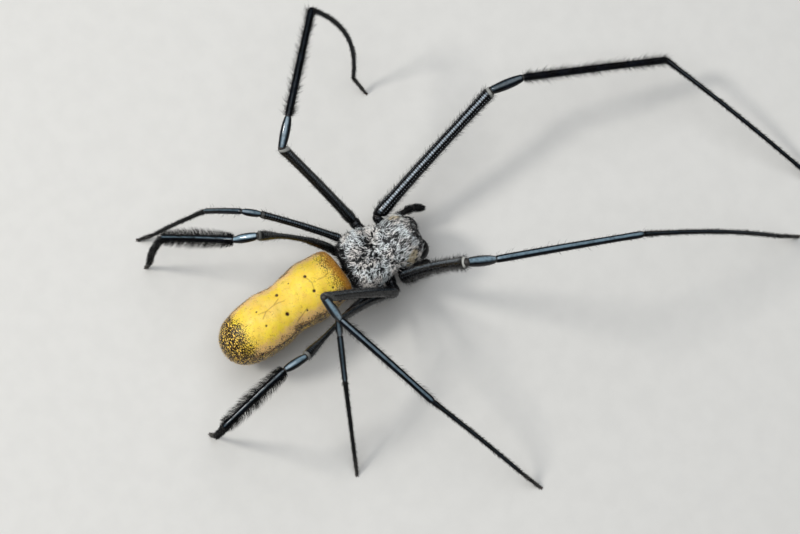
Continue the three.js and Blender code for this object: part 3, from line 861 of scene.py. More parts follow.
def makeThorax():
    def turnHead(points):
        return turned(points, thoraxYaw)

    def tones(points, around, along):
        return {"tone": silverTone(points), "cheek": cheekShare(points)}

    headFloor = loftSurface(belly["headFloor"], [0.8, 0.7], belly["inset"], turnHead)
    parts = [
        closedMesh(dorsalSurface, 150, 160, 0, tones),
        closedMesh(sternumSurface, 60, 64, 1),
        closedMesh(headFloor, 36, 56, 1),
        closedMesh(budSurface(belly["lip"], placeTurned), 20, 24, 1),
    ]
    horn = carapace["horn"]
    for side in sideSigns.values():
        parts.append(closedMesh(budSurface(belly["mouthPlate"], placeTurned, side), 24, 24, 1))
        root = placeTurned(horn["root"], side)
        tip = root + np.array(horn["rise"]) * [side, 1, 1]
        parts.append(closedMesh(limbSurface(root, tip, horn["outline"]), 12, 18, 0, tones))
    addPiece("cephalothorax_skin", parts, [carapaceLook(), sternumLook()], ["cephalothorax"])


makeThorax()
print("cephalothorax skin ready")

# Eyes: eight domes, each in a low ring, the outer two of each side on a shared knob
eyes = {
    "radius": 0.22,
    # the left four as [ahead, aside, height, share of the radius], with the way each looks
    "spots": [[4.56, 0.4, 8.4, 1.1], [4.05, 0.58, 9.06, 1], [4.33, 2.1, 8.2, 0.9], [3.98, 2.36, 8.4, 0.9]],
    "looking": [[12, 25], [25, 62], [25, 15], [70, 35]],
    "knobRadius": 0.56,
}


def eyeLook():
    look = Look("eyeLens", **{
        "Roughness": 0.06,
        "Specular IOR Level": 0.8,
        "Coat Weight": 1.0,
        "Coat Roughness": 0.03,
    })
    base = look.mix(look.noise(0.3, 2), colour(6, 5, 6), colour(34, 22, 16))
    return look.finish(base)


def makeEyes():
    domes = []
    rings = []
    for side in sideSigns.values():
        for (ahead, aside, height, share), way in zip(eyes["spots"], eyes["looking"]):
            radius = eyes["radius"] * share
            centre = placeTurned([ahead, aside, height], side)
            out = turned(heading(way, side), thoraxYaw)
            dome = [[0, radius * 0.9], [0.5, radius], [1, radius * 0.8]]
            domes.append(closedMesh(limbSurface(centre - out * 0.12, centre + out * 0.05, dome), 22, 28))
            ring = [[0, radius * 1.3], [0.5, radius * 1.34], [1, radius * 1.1]]
            rings.append(closedMesh(limbSurface(centre - out * 0.2, centre - out * 0.06, ring), 16, 28))
        knob = placeTurned(carapace["eyeKnob"], side)
        base = knob - heading([40, 20], side) * 0.25
        dome = [[0, 0.5], [0.5, eyes["knobRadius"] - 0.04], [1, 0.46]]
        rings.append(closedMesh(limbSurface(base, knob, dome), 20, 30))
    addPiece("eyes", domes, [eyeLook()])
    addPiece("eye_rings", rings, [looks["shin"]])


makeEyes()
print("eyes ready")

# The silver coat, in clumps of hair, that leaves the eyes bare
fur = {
    # rows of [clumps, hairs in each, clump width, hair width, shortest, longest, lowest lean, steepest,
    # silver or not]
    "layers": [
        [1200, 5, 0.1, 0.042, 0.4, 0.75, 9, 19, 0],
        [1780, 5, 0.08, 0.04, 0.4, 0.75, 8, 17, 1],
    ],
    "along": (0.02, 0.985),
    "clumpLength": 0.16,
    "clumpCurl": 6,
    "eyeGap": [0.3, 0.5],  # bare within the first distance from an eye, and full from the second
    "shortGap": [0.25, 1.0],  # the same for the hair's length
    "fine": {
        "count": 1000, "seed": 15, "along": (0.02, 0.985), "length": [0.25, 0.3], "width": 0.045,
        "lean": [10, 14], "curl": 6, "paleTone": 0.9, "shortest": 1,
    },
    "long": {
        "count": 900, "seed": 12, "along": (0.03, 0.97), "length": [0.6, 0.4], "width": 0.034,
        "lean": [12, 22], "curl": 14, "paleTone": 0.95, "shortest": 0.3,
    },
    # black hair over the waist, long and dense so that it also stands in for the shade between carapace and
    # abdomen
    "shadeFringeCount": 900,
    "fringe": {"length": [0.7, 0.6], "width": 0.045, "lean": [12, 20], "curl": 12, "tone": [0, 0.1]},
    "bellyCount": 1600,
    "belly": {"length": [0.3, 0.35], "width": 0.03, "lean": [30, 15], "curl": 15, "tone": [0.35, 0.4]},
}


eyeSpots = [placeTurned(spot[:3], side) for side in sideSigns.values() for spot in eyes["spots"]]


def eyeDistance(points):
    return np.min([np.linalg.norm(points - spot, axis=1) for spot in eyeSpots], 0)


def bareShare(points):
    low = 0.15 + 0.85 * smoothStep(points[:, 2], 6.4, 6.9)
    return low * (1 - 0.93 * cheekShare(points)) * smoothStep(eyeDistance(points), *fur["eyeGap"])


def rearShare(points):
    return 1 - smoothStep(thoraxPlan(points)[:, 1], -0.5, 1.2)


def darkWeight(points, around, along):
    return bareShare(points) * (1 - 0.45 * rearShare(points)) * (1.5 - silverTone(points))


def silverWeight(points, around, along):
    silver = 0.04 + smoothStep(silverTone(points), 0.1, 0.9)
    return bareShare(points) * silver * (1 + 0.4 * rearShare(points))


# where the black hair over the waist stands in for the shade in the gap
def shadeFringeWeight(points, around, along):
    plan = thoraxPlan(points)
    return smoothStep(-plan[:, 1], 3.6, 4.5) * bell(plan[:, 2] - 6.9, 0.7)


# The hair lies forward and inward on the head, and outward to the edges behind it
def lieOf(roots):
    plan = thoraxPlan(roots["points"])
    head = smoothStep(plan[:, 1], 0.0, 1.6)[:, None]
    side = plan * [1, 0, 0]
    rear = unit(side * 0.5 + backward * 1.2)
    front = unit(side * -0.2 - backward * 1.4)
    swirl = (roots["random"][:, :3] - 0.5) * (2.0 - 1.1 * head)
    return turned(rear * (1 - head) + front * head + swirl, thoraxYaw)


# One layer of clumps, where the hairs of a clump share its lie and nearly its tone
def growClumps(layer, row):
    count, hairs, clumpWidth, width, shortest, longest, lowLean, highLean, silver = row
    weight = silverWeight if silver else darkWeight
    clumps = scatter(dorsalSurface, count, 11 + layer, along=fur["along"], weight=weight)
    lie = unit(lieOf(clumps))
    chance = clumps["random"]
    tone = 0.74 + 0.26 * chance[:, 3] if silver else 0.15 * chance[:, 3] ** 2
    tone = tone + 2 * (silver * cheekShare(clumps["points"]) > 0.4)
    across = np.cross(clumps["outward"], lie)
    spread = np.random.default_rng(31 + layer).uniform(-0.5, 0.5, (len(lie) * hairs, 4))
    roots = {key: np.repeat(values, hairs, 0) for key, values in clumps.items()}
    lie, across, tone = (np.repeat(values, hairs, 0) for values in (lie, across, tone))
    shift = across * spread[:, :1] * clumpWidth + lie * spread[:, 1:2] * fur["clumpLength"]
    roots["points"] = roots["points"] + shift
    chance = roots["random"]
    length = (shortest + (longest - shortest) * chance[:, 0]) * (1 + 0.25 * spread[:, 3])
    return growHair(
        roots,
        lie + across * spread[:, 2:3] * 0.18,
        length * (0.35 + 0.65 * smoothStep(eyeDistance(roots["points"]), *fur["shortGap"])),
        width,
        lowLean + (highLean - lowLean) * chance[:, 2] + 5 * spread[:, 1],
        fur["clumpCurl"],
        tone + 0.08 * spread[:, 0],
    )


# Single hairs, half of them pale
def growSingles(count, seed, along, length, width, lean, curl, paleTone, shortest):
    roots = scatter(dorsalSurface, count, seed, along=along, weight=silverWeight)
    chance = roots["random"]
    size = length[0] + length[1] * chance[:, 0]
    reach = shortest + (1 - shortest) * smoothStep(eyeDistance(roots["points"]), *fur["shortGap"])
    tone = np.where(chance[:, 3] > 0.5, paleTone, 0.05)
    return growHair(roots, lieOf(roots), size * reach, width, lean[0] + lean[1] * chance[:, 2], curl, tone)


def makeThoraxCoat():
    growths = [growClumps(layer, row) for layer, row in enumerate(fur["layers"])]
    growths += [growSingles(**singles) for singles in (fur["fine"], fur["long"])]
    # black hair over the waist, real hair that also stands in for the shade in the gap
    fringe = scatter(dorsalSurface, fur["shadeFringeCount"], 16, weight=shadeFringeWeight)
    sideways = unit((fringe["points"] - bodyMiddle) * [1, 0, 0]) * 0.35
    stray = (fringe["random"][:, :3] - 0.5) * 0.9
    growths.append(growLoose(fringe, backward + stray + sideways, 0, **fur["fringe"]))
    addCoat("cephalothorax_coat", growths, looks["silverHair"])
    under = scatter(sternumSurface, fur["bellyCount"], 13, around=(0.52, 0.98), along=(0.06, 0.94))
    underHair = growLoose(under, backward, 0.8, **fur["belly"])
    addCoat("sternum_hair", [underHair], looks["silverHair"])


makeThoraxCoat()

# Abdomen: a long barrel, yellow above with dark speckled flanks and rear
abdomen = {
    "start": 5.8,
    "aside": 0.6,
    "yaw": 3.5,
    "stations": [
        [0, 0, 8.0, 8.0, 8.0],
        [-0.08, 1.95, 8.0, 9.2, 6.9],
        [-0.4, 2.9, 7.9, 9.9, 6.1],
        [-1.2, 3.35, 7.7, 10.5, 5.2],
        [-2.8, 3.6, 7.4, 10.95, 4.4],
        [-4.6, 3.85, 7.2, 11.1, 3.8],
        [-6.4, 3.6, 7.1, 10.7, 3.6],
        [-8.3, 3.35, 7.0, 10.4, 3.55],
        [-10.2, 3.65, 7.0, 10.65, 3.4],
        [-12.0, 3.7, 7.0, 10.7, 3.4],
        [-14.2, 3.45, 6.9, 10.3, 3.65],
        [-15.8, 2.95, 6.9, 9.7, 4.2],
        [-16.9, 2.05, 6.9, 8.8, 5.1],
        [-17.45, 1.05, 6.9, 7.9, 5.9],
        [-17.6, 0, 6.9, 6.9, 6.9],
    ],
    "length": 17.6,
    # dark dots as [ahead, aside, radius] from the body's middle
    "dots": [
        [-10.31, 1.40, 0.16],
        [-10.32, -0.73, 0.16],
        [-14.38, 1.45, 0.16],
        [-14.53, -1.24, 0.19],
        [-7.6, 1.1, 0.08],
        [-8.1, -1.5, 0.1],
        [-12.4, 1.9, 0.07],
        [-12.2, -2.1, 0.09],
        [-17.6, 0.9, 0.09],
        [-17.5, -1.2, 0.1],
    ],
    # fine dark lines through [ahead, aside]
    "veins": [
        [[-10.3, 1.2], [-10.0, 0.3], [-10.2, -0.5]],
        [[-14.5, 0.9], [-15.4, 0.5], [-16.6, 0.3], [-17.6, 0.5]],
        [[-14.0, 0.3], [-14.8, 0.5], [-15.4, 0.5]],
        [[-16.6, 0.3], [-17.4, -0.3]],
        [[-12.1, -1.9], [-13.0, -2.2], [-13.9, -2.5]],
        [[-9.2, 0.2], [-8.4, 0.1], [-7.7, 0.3]],
    ],
}


# Moves points made along the abdomen's own axis to its place behind the waist
def settle(points):
    return turned(points, abdomen["yaw"]) + [abdomen["aside"], abdomen["start"], 0]


def settleSpot(spot, side=1):
    ahead, aside, height = spot
    return settle(np.array([[side * aside, -ahead, height]]))[0] + bodyMiddle


def shapeAbdomen(points):
    x, y, z = points.T
    lumps = 0.035 * np.sin(y * 1.9 + 0.6) * np.sin(x * 1.6 + z * 0.9)
    lumps += 0.02 * np.sin(y * 4.3 + x * 2.1) * np.sin(z * 3.4 - x * 1.3)
    out = unit(np.stack([x, np.zeros(len(x)), z - 7.1], 1))
    shaped = settle(points + out * lumps[:, None])
    plan = np.stack([-shaped[:, 1], shaped[:, 0]], 1)
    top = smoothStep(shaped[:, 2], 8.6, 9.6)
    for ahead, aside, radius in abdomen["dots"]:
        apart = np.linalg.norm(plan - [ahead, aside], axis=1)
        shaped[:, 2] -= top * 0.09 * bell(apart, radius * 1.2)
    return shaped


def abdomenMarks(points, around, along):
    plan = points - bodyMiddle
    flat = np.stack([-plan[:, 1], plan[:, 0]], 1)
    run = (plan[:, 1] - abdomen["start"]) / abdomen["length"]
    turnFromTop = np.abs((around % 1) - 0.25)
    turnFromTop = np.minimum(turnFromTop, 1 - turnFromTop) * 2
    top = smoothStep(plan[:, 2], 8.4, 9.2)
    dot = np.zeros(len(points))
    for ahead, aside, radius in abdomen["dots"]:
        apart = np.linalg.norm(flat - [ahead, aside], axis=1)
        dot = np.maximum(dot, np.clip(3 - 2 * apart / radius, 0, 1))
    vein = np.zeros(len(points))
    for corners in abdomen["veins"]:
        vein = np.maximum(vein, bell(distanceToLine(flat, corners), 0.06))
    return {"run": run, "round": turnFromTop, "dot": dot * top, "vein": vein * top}


abdomenTints = {
    "yellow": colour(246, 208, 78),
    "bright": colour(250, 220, 66),
    "beige": colour(236, 192, 134),
    "rim": colour(206, 140, 44),
    "tan": colour(192, 134, 62),
    "brown": colour(104, 54, 16),
    "dark": colour(22, 10, 5),
    "fleck": colour(255, 212, 92),
    "dot": colour(48, 16, 10),
    "plate": colour(176, 140, 92),
}


def abdomenLook():
    look = Look("abdomenSkin", **{
        "Specular IOR Level": 0.22,
        "Coat Weight": 0.08,
        "Coat Roughness": 0.3,
        "Subsurface Weight": 0.08,
        "Subsurface Scale": 0.0006,
    })
    tints = abdomenTints
    run, turn = look.mark("run"), look.mark("round")
    warp, fineWarp = look.swing(1.6, 4, 0.22), look.swing(0.3, 3, 0.16)
    warped = look.plus(turn, look.plus(warp, fineWarp))
    warpedRun = look.plus(run, look.times(look.plus(warp, fineWarp), 0.5))
    # yellow with faint pinkish-beige clouds
    clouds = look.spread(look.noise(2.2, 5, 0.6), 0.46, 0.62)
    base = look.mix(look.cloud(1.1, 3, 0.35, 0.65), tints["yellow"], tints["bright"])
    base = look.layer(base, tints["beige"], clouds, 0.35)
    # a beige band above the flank, then brown, then dark
    band = look.spread(warped, 0.2, 0.32)
    base = look.layer(base, tints["beige"], band, 0.8)
    tan = look.spread(warped, 0.32, 0.4)
    base = look.layer(base, tints["tan"], tan, 0.85)
    flank = look.spread(warped, 0.37, 0.47)
    rear = look.spread(warpedRun, 0.83, 0.92)
    shade = look.maths("MAXIMUM", flank, rear)
    base = look.layer(base, tints["brown"], shade, 0.92)
    # dark speckle that thickens down the flank and to the rear
    nearRear = look.spread(warpedRun, 0.74, 0.9)
    nearFlank = look.spread(warped, 0.27, 0.44)
    near = look.maths("MAXIMUM", nearRear, nearFlank)
    near = look.maths("MAXIMUM", near, look.spread(warpedRun, 0.2, 0.0, 0.0, 0.85))
    speckNoise = look.noise(0.14, 2, 0.7)
    speck = look.spread(look.plus(speckNoise, look.times(near, 0.28)), 0.62, 0.68)
    base = look.mix(look.times(speck, look.spread(near, 0.02, 0.25)), base, tints["dark"])
    # golden flecks in the dark parts
    ragged = look.swing(0.09, 2, 0.6)
    flecks = look.spread(look.plus(look.cells(0.21), ragged), 0.48, 0.34)
    flecks = look.times(flecks, look.cloud(0.26, 2, 0.42, 0.52))
    flecks = look.times(flecks, look.spread(shade, 0.1, 0.4))
    base = look.mix(flecks, base, tints["fleck"])
    # fine brown wrinkles in patches
    ridge = look.maths("ABSOLUTE", look.maths("SUBTRACT", look.noise(1.0, 2), 0.5))
    lines = look.spread(ridge, 0.012, 0.003)
    wrinkles = look.times(lines, look.cloud(1.8, 2, 0.48, 0.6))
    base = look.layer(base, tints["brown"], wrinkles, 0.4)
    # amber rim at the front, and painted shade in brown along its very edge where the abdomen meets the
    # waist
    front = look.spread(warpedRun, 0.12, 0.0)
    base = look.layer(base, tints["rim"], front, 0.85)
    # painted shade: brown along the very front edge
    paintedFrontShade = look.spread(warpedRun, 0.035, -0.01)
    base = look.layer(base, tints["brown"], paintedFrontShade, 0.8)
    base = look.mix(look.times(look.mark("vein"), 0.55), base, tints["brown"])
    base = look.mix(look.mark("dot"), base, tints["dot"])
    creases = look.noise(0.5, 5, 0.6)
    pores = look.spread(look.cells(0.22), 0.0, 0.4)
    normal = look.bump(creases, 0.1, 0.5, look.bump(pores, 0.02, 0.5))
    rough = look.cloud(0.7, 3, 0.3, 0.7, 0.34, 0.5)
    return look.finish(base, normal, rough)


def plateLook():
    look = Look("plateSkin", **{"Specular IOR Level": 0.4})
    patches = look.cloud(0.4, 3, 0.35, 0.65)
    base = look.mix(patches, abdomenTints["plate"], abdomenTints["brown"])
    normal = look.bump(look.noise(0.15, 3), 0.03, 0.6)
    return look.finish(base, normal, look.cloud(0.6, 2, 0.3, 0.7, 0.4, 0.6))


spinnerets = {
    # [ahead, aside, radius, length] of the three pairs, with their roots at one height
    "pairs": [[-15.6, 0.42, 0.36, 1.2], [-16.3, 0.5, 0.34, 1.25], [-15.95, 0.16, 0.24, 0.95]],
    "root": 4.5,
    "outline": [[0, 1], [0.5, 1], [0.62, 0.82], [0.7, 0.9], [1, 0.6]],
    "plate": {
        "root": [-2.4, 0, 4.95],
        "tip": [-3.4, 0, 4.55],
        "outline": [[0, 0.55], [0.5, 0.56], [1, 0.5]],
    },
}
abdomenSurface = loftSurface(abdomen["stations"], [0.95, 0.95], 0, shapeAbdomen)


def makeAbdomen():
    parts = [
        closedMesh(abdomenSurface, 300, 280, 0, abdomenMarks),
        closedMesh(budSurface(spinnerets["plate"], settleSpot), 20, 24, 1),
    ]
    for side in sideSigns.values():
        for ahead, aside, radius, length in spinnerets["pairs"]:
            root = settleSpot([ahead, aside, spinnerets["root"]], side)
            tip = settleSpot([ahead - length * 0.6, aside * 0.9, spinnerets["root"] - length * 0.8], side)
            outline = [[share, radius * width] for share, width in spinnerets["outline"]]
            parts.append(closedMesh(limbSurface(root, tip, outline), 30, 22, 1))
    addPiece("abdomen_skin", parts, [abdomenLook(), plateLook()], ["abdomen"])


abdomenHair = {
    "count": 5200,
    "growth": {
        "length": [0.16, 0.3], "power": 2, "width": 0.022, "lean": [25, 25], "curl": 16, "tone": [0.3, 0.6],
    },
}


def makeAbdomenHair():
    def thin(points, around, along):
        return 1 - 0.4 * smoothStep(points[:, 2], 9, 10.4)

    roots = scatter(abdomenSurface, abdomenHair["count"], 21, along=(0.03, 0.985), weight=thin)
    hair = growLoose(roots, np.array([0, 1.0, -0.15]), 0.7, **abdomenHair["growth"])
    paleHair = hairLook("paleHair", colour(128, 84, 34), colour(236, 206, 142), 0.5, 0.1)
    addCoat("abdomen_hair", [hair], paleHair)


makeAbdomen()
makeAbdomenHair()
print("abdomen ready")

# Pedicel: the waist, a short tube of three rings
waist = {
    "start": [-4.1, 0, 6.0],
    "end": [-7.6, 0.4, 6.8],
    "outline": [
        [0, 0.62], [0.2, 0.6], [0.28, 0.5], [0.36, 0.58], [0.5, 0.55], [0.6, 0.48], [0.68, 0.56], [1, 0.62],
    ],
}


def makePedicel():
    tube = limbSurface(placeTurned(waist["start"]), place(waist["end"]), waist["outline"])
    addPiece("pedicel_skin", [closedMesh(tube, 48, 30)], [looks["foot"]], ["pedicel"])


makePedicel()

# Jaws: stout glossy chelicerae with a pale boss at the base and a folded fang
jaws = {
    "root": [3.5, 1.55, 7.2],
    "tip": [4.3, 1.5, 3.6],
    "outline": [[0, 1.14], [0.25, 1.42], [0.6, 1.34], [0.85, 1.13], [1, 0.95]],
    "bow": (0.25, 0),
    "cleft": 0.15,
    "boss": {
        "root": [2.6, 2.35, 7.0],
        "tip": [3.3, 2.3, 6.2],
        "outline": [[0, 0.42], [0.5, 0.5], [1, 0.36]],
    },
    "fangRoot": [4.6, 2.0, 2.9],
    "fangTip": [3.35, 0.5, 2.0],
    "fangOutline": [[0, 0.36], [0.15, 0.34], [0.5, 0.27], [0.8, 0.16], [1, 0.07]],
    "fangBow": (-0.3, 0),
    "hairCount": 420,
    "hair": {"length": [0.2, 0.5], "width": 0.025, "lean": [30, 20], "curl": 14, "tone": [0.1, 0.5]},
}


def jawSurface(side):
    def keepOff(points):
        shaped = turned(points - bodyMiddle, -thoraxYaw)
        shaped[:, 0] = side * np.maximum(side * shaped[:, 0], jaws["cleft"])
        return bodyMiddle + turned(shaped, thoraxYaw)

    root, tip = placeTurned(jaws["root"], side), placeTurned(jaws["tip"], side)
    return limbSurface(root, tip, jaws["outline"], jaws["bow"], shape=keepOff)


def makeJaws(sideName, side):
    name, fangName = f"chelicera_{sideName}", f"fang_{sideName}"
    surface = jawSurface(side)
    boss = budSurface(jaws["boss"], placeTurned, side)
    parts = [closedMesh(surface, 70, 60), closedMesh(boss, 20, 26, 1)]
    addPiece(f"{name}_skin", parts, [looks["jaw"], looks["boss"]], [name])
    fangRoot, fangTip = placeTurned(jaws["fangRoot"], side), placeTurned(jaws["fangTip"], side)
    fang = limbSurface(fangRoot, fangTip, jaws["fangOutline"], jaws["fangBow"])
    addPiece(f"{fangName}_horn", [closedMesh(fang, 40, 22)], [looks["horn"]], [fangName])

    # the hair is thickest low down and on the inner sides
    def lowAndInner(points, around, along):
        inner = 1 - smoothStep(side * thoraxPlan(points)[:, 0], 0.3, 1.6)
        return 0.02 + inner * (1 - smoothStep(points[:, 2], 3.6, 5.6))

    roots = scatter(surface, jaws["hairCount"], 31 + side, along=(0.25, 0.93), weight=lowAndInner)
    hair = growLoose(roots, np.array([0, -0.3, -1.0]), 0.5, **jaws["hair"])
    addCoat(f"{name}_hair", [hair], looks["legHair"])


for sideName, side in sideSigns.items():
    makeJaws(sideName, side)
print("jaws ready")

# Palps: the left reaches forward, the right is folded down
palps = {
    "joints": {
        "left": [[2.7, 2.0, 4.4], [3.65, 3.6, 4.3], [4.85, 3.73, 4.8], [6.05, 3.7, 4.8], [7.45, 3.55, 3.1]],
        "right": [[2.7, 2.0, 4.4], [3.6, 3.1, 4.0], [4.2, 3.15, 3.4], [4.6, 2.95, 2.6], [4.7, 2.5, 1.0]],
    },
    "radii": [0.36, 0.4, 0.38, 0.34],
    "gap": 0.05,
    "rimTaper": 0.12,
    "hairs": [260, 200, 420, 1100],
    "hair": {"length": [0.25, 0.35], "width": 0.026, "lean": [28, 20], "curl": 12, "tone": [0.2, 0.5]},
}


# Soft skin that closes a joint
def jointBall(centre, radius):
    lift = np.array([0, 0, radius * 0.38])
    return limbSurface(centre - lift, centre + lift, [[0, radius * 0.9], [0.5, radius], [1, radius * 0.9]])


def makePalp(sideName, side):
    joints = [placeTurned(joint, side) for joint in palps["joints"][sideName]]
    ways = [unit(end - start) for start, end in zip(joints[:-1], joints[1:])]
    squares = [unit(after + before) for before, after in zip(ways[:-1], ways[1:])]
    name = f"palp_{sideName}"
    parts = []
    growths = []
    for i, radius in enumerate(palps["radii"]):
        last = i == len(ways) - 1
        end = 0.14 if last else radius * 0.85
        outline = [[0, radius * 0.85], [0.2, radius * 0.97], [0.5, radius]]
        outline += [[0.8, (radius + end) / 2], [1, end]]
        stops = []
        if i > 0:
            stops.append((joints[i] + squares[i - 1] * palps["gap"], -squares[i - 1]))
        if not last:
            stops.append((joints[i + 1] - squares[i] * palps["gap"], squares[i]))
            parts.append(closedMesh(jointBall(joints[i + 1], radius * 0.8), 12, 20, 1))
        surface = limbSurface(joints[i], joints[i + 1], outline, (0.05, 0), stops, palps["rimTaper"])
        parts.append(closedMesh(surface, 34, 22))
        roots = scatter(surface, palps["hairs"][i], 41 + i + side, along=(0.25, 0.9 if last else 0.75))
        growths.append(growLoose(roots, ways[i], 0.4, **palps["hair"]))
    addPiece(f"{name}_skin", parts, [looks["foot"], looks["joint"]], [name])
    addCoat(f"{name}_hair", growths, looks["legHair"])


for sideName, side in sideSigns.items():
    makePalp(sideName, side)
print("palps ready")

# Legs
partNames = ["coxa", "femur", "patella", "tibia", "metatarsus", "tarsus"]

# Lengths run from the femur to the tarsus, and radii from the coxa to the tarsus
legPairs = {
    1: {
        "root": [1.4, 1.7, 5.1],
        "lengths": [21, 4.2, 19.6, 23.2, 4.2],
        "radii": [0.72, 0.79, 0.66, 0.5, 0.32, 0.25],
    },
    2: {
        "root": [-0.5, 1.9, 5.1],
        "lengths": [17.2, 3.8, 15, 16.8, 3.4],
        "radii": [0.72, 0.68, 0.6, 0.5, 0.32, 0.25],
    },
    3: {
        "root": [-2.15, 1.7, 5.1],
        "lengths": [12.2, 2.3, 6.4, 10.7, 2.7],
        "radii": [0.58, 0.5, 0.48, 0.42, 0.29, 0.26],
    },
    4: {
        "root": [-3.6, 1.1, 5.1],
        "lengths": [16.6, 3.0, 10, 12.2, 2.7],
        "radii": [0.66, 0.6, 0.58, 0.5, 0.32, 0.26],
    },
}
hipHeight = 5.9

# Each part has a turn from straight ahead to its own side, then a lift. The foot is the metatarsus with
# the tarsus, and its lift is the tarsus's. The bows are how far the femur and metatarsus leave a line.
stance = {
    "left": {
        1: {
            "hip": [2.0, 4.3], "ways": [[13, 15], [-14, 15], [-20, -16]],
            "foot": [-69, -14], "bows": [[0.5, 0], [0.6, 0]],
        },
        2: {
            "hip": [-0.9, 5.5], "ways": [[116, 56], [45, 17], [47, -10]],
            "foot": [-68, -57], "bows": [[0.3, 0], [0.8, -1.9]],
        },
        3: {
            "hip": [-3.4, 4.3], "ways": [[141, 37.4], [143, 16], [133, -39.5]],
            "foot": [153, -38], "bows": [[0.4, 0], [0.2, 0]],
        },
        4: {
            "hip": [-5.0, 3.6], "ways": [[160.9, 57.6], [151, -20.5], [138, -25]],
            "foot": [144, -76], "bows": [[0.5, 0.45], [0.3, 0]],
        },
    },
    "right": {
        1: {
            "hip": [0.6, 4.2], "ways": [[58, 68], [17, -33], [18, -18]],
            "foot": [21, -40], "bows": [[0.5, 0], [1.2, 0]],
        },
        2: {
            "hip": [-1.5, 5.1], "ways": [[-175, 57], [80, -46], [72, -18]],
            "foot": [64, -37], "bows": [[0.4, 0], [0.4, 0]],
        },
        3: {
            "hip": [-2.9, 4.7], "ways": [[167, 51], [116, -53], [116, -44]],
            "foot": [115, -43], "bows": [[0.3, 0], [0.3, 0]],
        },
        4: {
            "hip": [-4.6, 3.7], "ways": [[158, 41], [177, 13], [172, -17]],
            "foot": [-110, -65], "bows": [[0.5, 0], [0.3, 0]],
        },
    },
}

# Radii along each part, as [share of its length, share of its radius]. The fourth femur is a spindle.
outlines = {
    "coxa": [[0, 0.9], [0.3, 0.98], [0.55, 1], [0.72, 0.84], [0.85, 1], [1, 0.98]],
    "femur": [
        [0, 0.92], [0.04, 1.12], [0.09, 1.1], [0.18, 1], [0.45, 0.96], [0.7, 0.92], [0.9, 0.94], [0.96, 1],
        [1, 0.9],
    ],
    "spindle": [
        [0, 0.9], [0.07, 1], [0.3, 0.84], [0.45, 0.6], [0.72, 0.6], [0.84, 0.86], [0.94, 1.08], [1, 0.92],
    ],
    "patella": [[0, 0.84], [0.12, 0.92], [0.42, 1.05], [0.72, 1], [0.9, 0.84], [1, 0.78]],
    "tibia": [[0, 0.86], [0.04, 0.98], [0.12, 1], [0.45, 0.98], [0.8, 0.9], [0.95, 0.95], [1, 0.84]],
    "metatarsus": [[0, 1.2], [0.04, 1.16], [0.09, 1], [0.3, 0.95], [0.55, 0.9], [0.8, 0.85], [1, 0.8]],
    "tarsus": [[0, 0.95], [0.3, 0.94], [0.5, 0.92], [0.8, 0.8], [1, 0.62]],
}
legBuild = {
    "gaps": {"coxa": 0.06, "femur": 0.07, "patella": 0.05, "tibia": 0.06, "metatarsus": 0.05},
    "rimTaper": 0.1,
    "tibiaBow": [0.15, 0],
    "inset": 0.03,
    "soleShare": 0.36,  # height of the foot's middle line at its tip, as a share of its radius
    "around": 28,
    "ringStep": 0.3,
    "claw": [[0, 0.075], [0.4, 0.06], [0.75, 0.035], [1, 0.012]],
    "clawReach": [0.34, 0.15, -0.17],  # forward, to each side and down
}


# The joints from the hip to the tip. The foot's lift is worked out so that it ends on the floor.
def legJoints(pair, sideName, side):
    sizes, pose = legPairs[pair], stance[sideName][pair]
    joints = [placeTurned(sizes["root"], side), place([*pose["hip"], hipHeight], side)]
    for way, length in zip(pose["ways"], sizes["lengths"]):
        joints.append(joints[-1] + heading(way, side) * length)
    footLength, tarsusLength = sizes["lengths"][3:]
    tarsus = heading(pose["foot"], side) * tarsusLength
    drop = sizes["radii"][-1] * legBuild["soleShare"] - joints[-1][2] - tarsus[2]
    footLift = math.degrees(math.asin(drop / footLength))
    joints.append(joints[-1] + heading([pose["foot"][0], footLift], side) * footLength)
    joints.append(joints[-1] + tarsus)
    return joints


# How strong the pale band of painted highlight is on the femur, patella, tibia and metatarsus of each leg,
# set by how the light falls on it, and then the knee's pale ring, partly a painted highlight
legSheen = {
    ("left", 1): [0.9, 0.15, 0.0, 0.1, 0.75],
    ("left", 2): [0.25, 0.5, 0.05, 0.05, 0.7],
    ("left", 3): [0.5, 0.45, 0.3, 0.05, 0.12],
    ("left", 4): [0.1, 0.9, 0.5, 0.05, 0.25],
    ("right", 1): [0.4, 0.85, 0.8, 0.15, 0.9],
    ("right", 2): [0.15, 0.85, 0.5, 0.1, 0.2],
    ("right", 3): [0.15, 0.4, 0.35, 0.05, 0.2],
    ("right", 4): [0.1, 0.6, 0.35, 0.05, 0.35],
}

# How far from the top line the pale band of painted highlight is full, and where it ends, as shares of a
# turn
sheenBands = {
    "coxa": [0, 0.04],
    "femur": [0.008, 0.04],
    "patella": [0.04, 0.09],
    "tibia": [0.02, 0.065],
    "metatarsus": [0.015, 0.05],
    "tarsus": [0, 0.03],
    ("tibia", 1): [0.035, 0.08],
    ("tibia", 4): [0, 0.05],
    ("metatarsus", 3): [0, 0.01],
    ("metatarsus", 4): [0, 0.01],
}

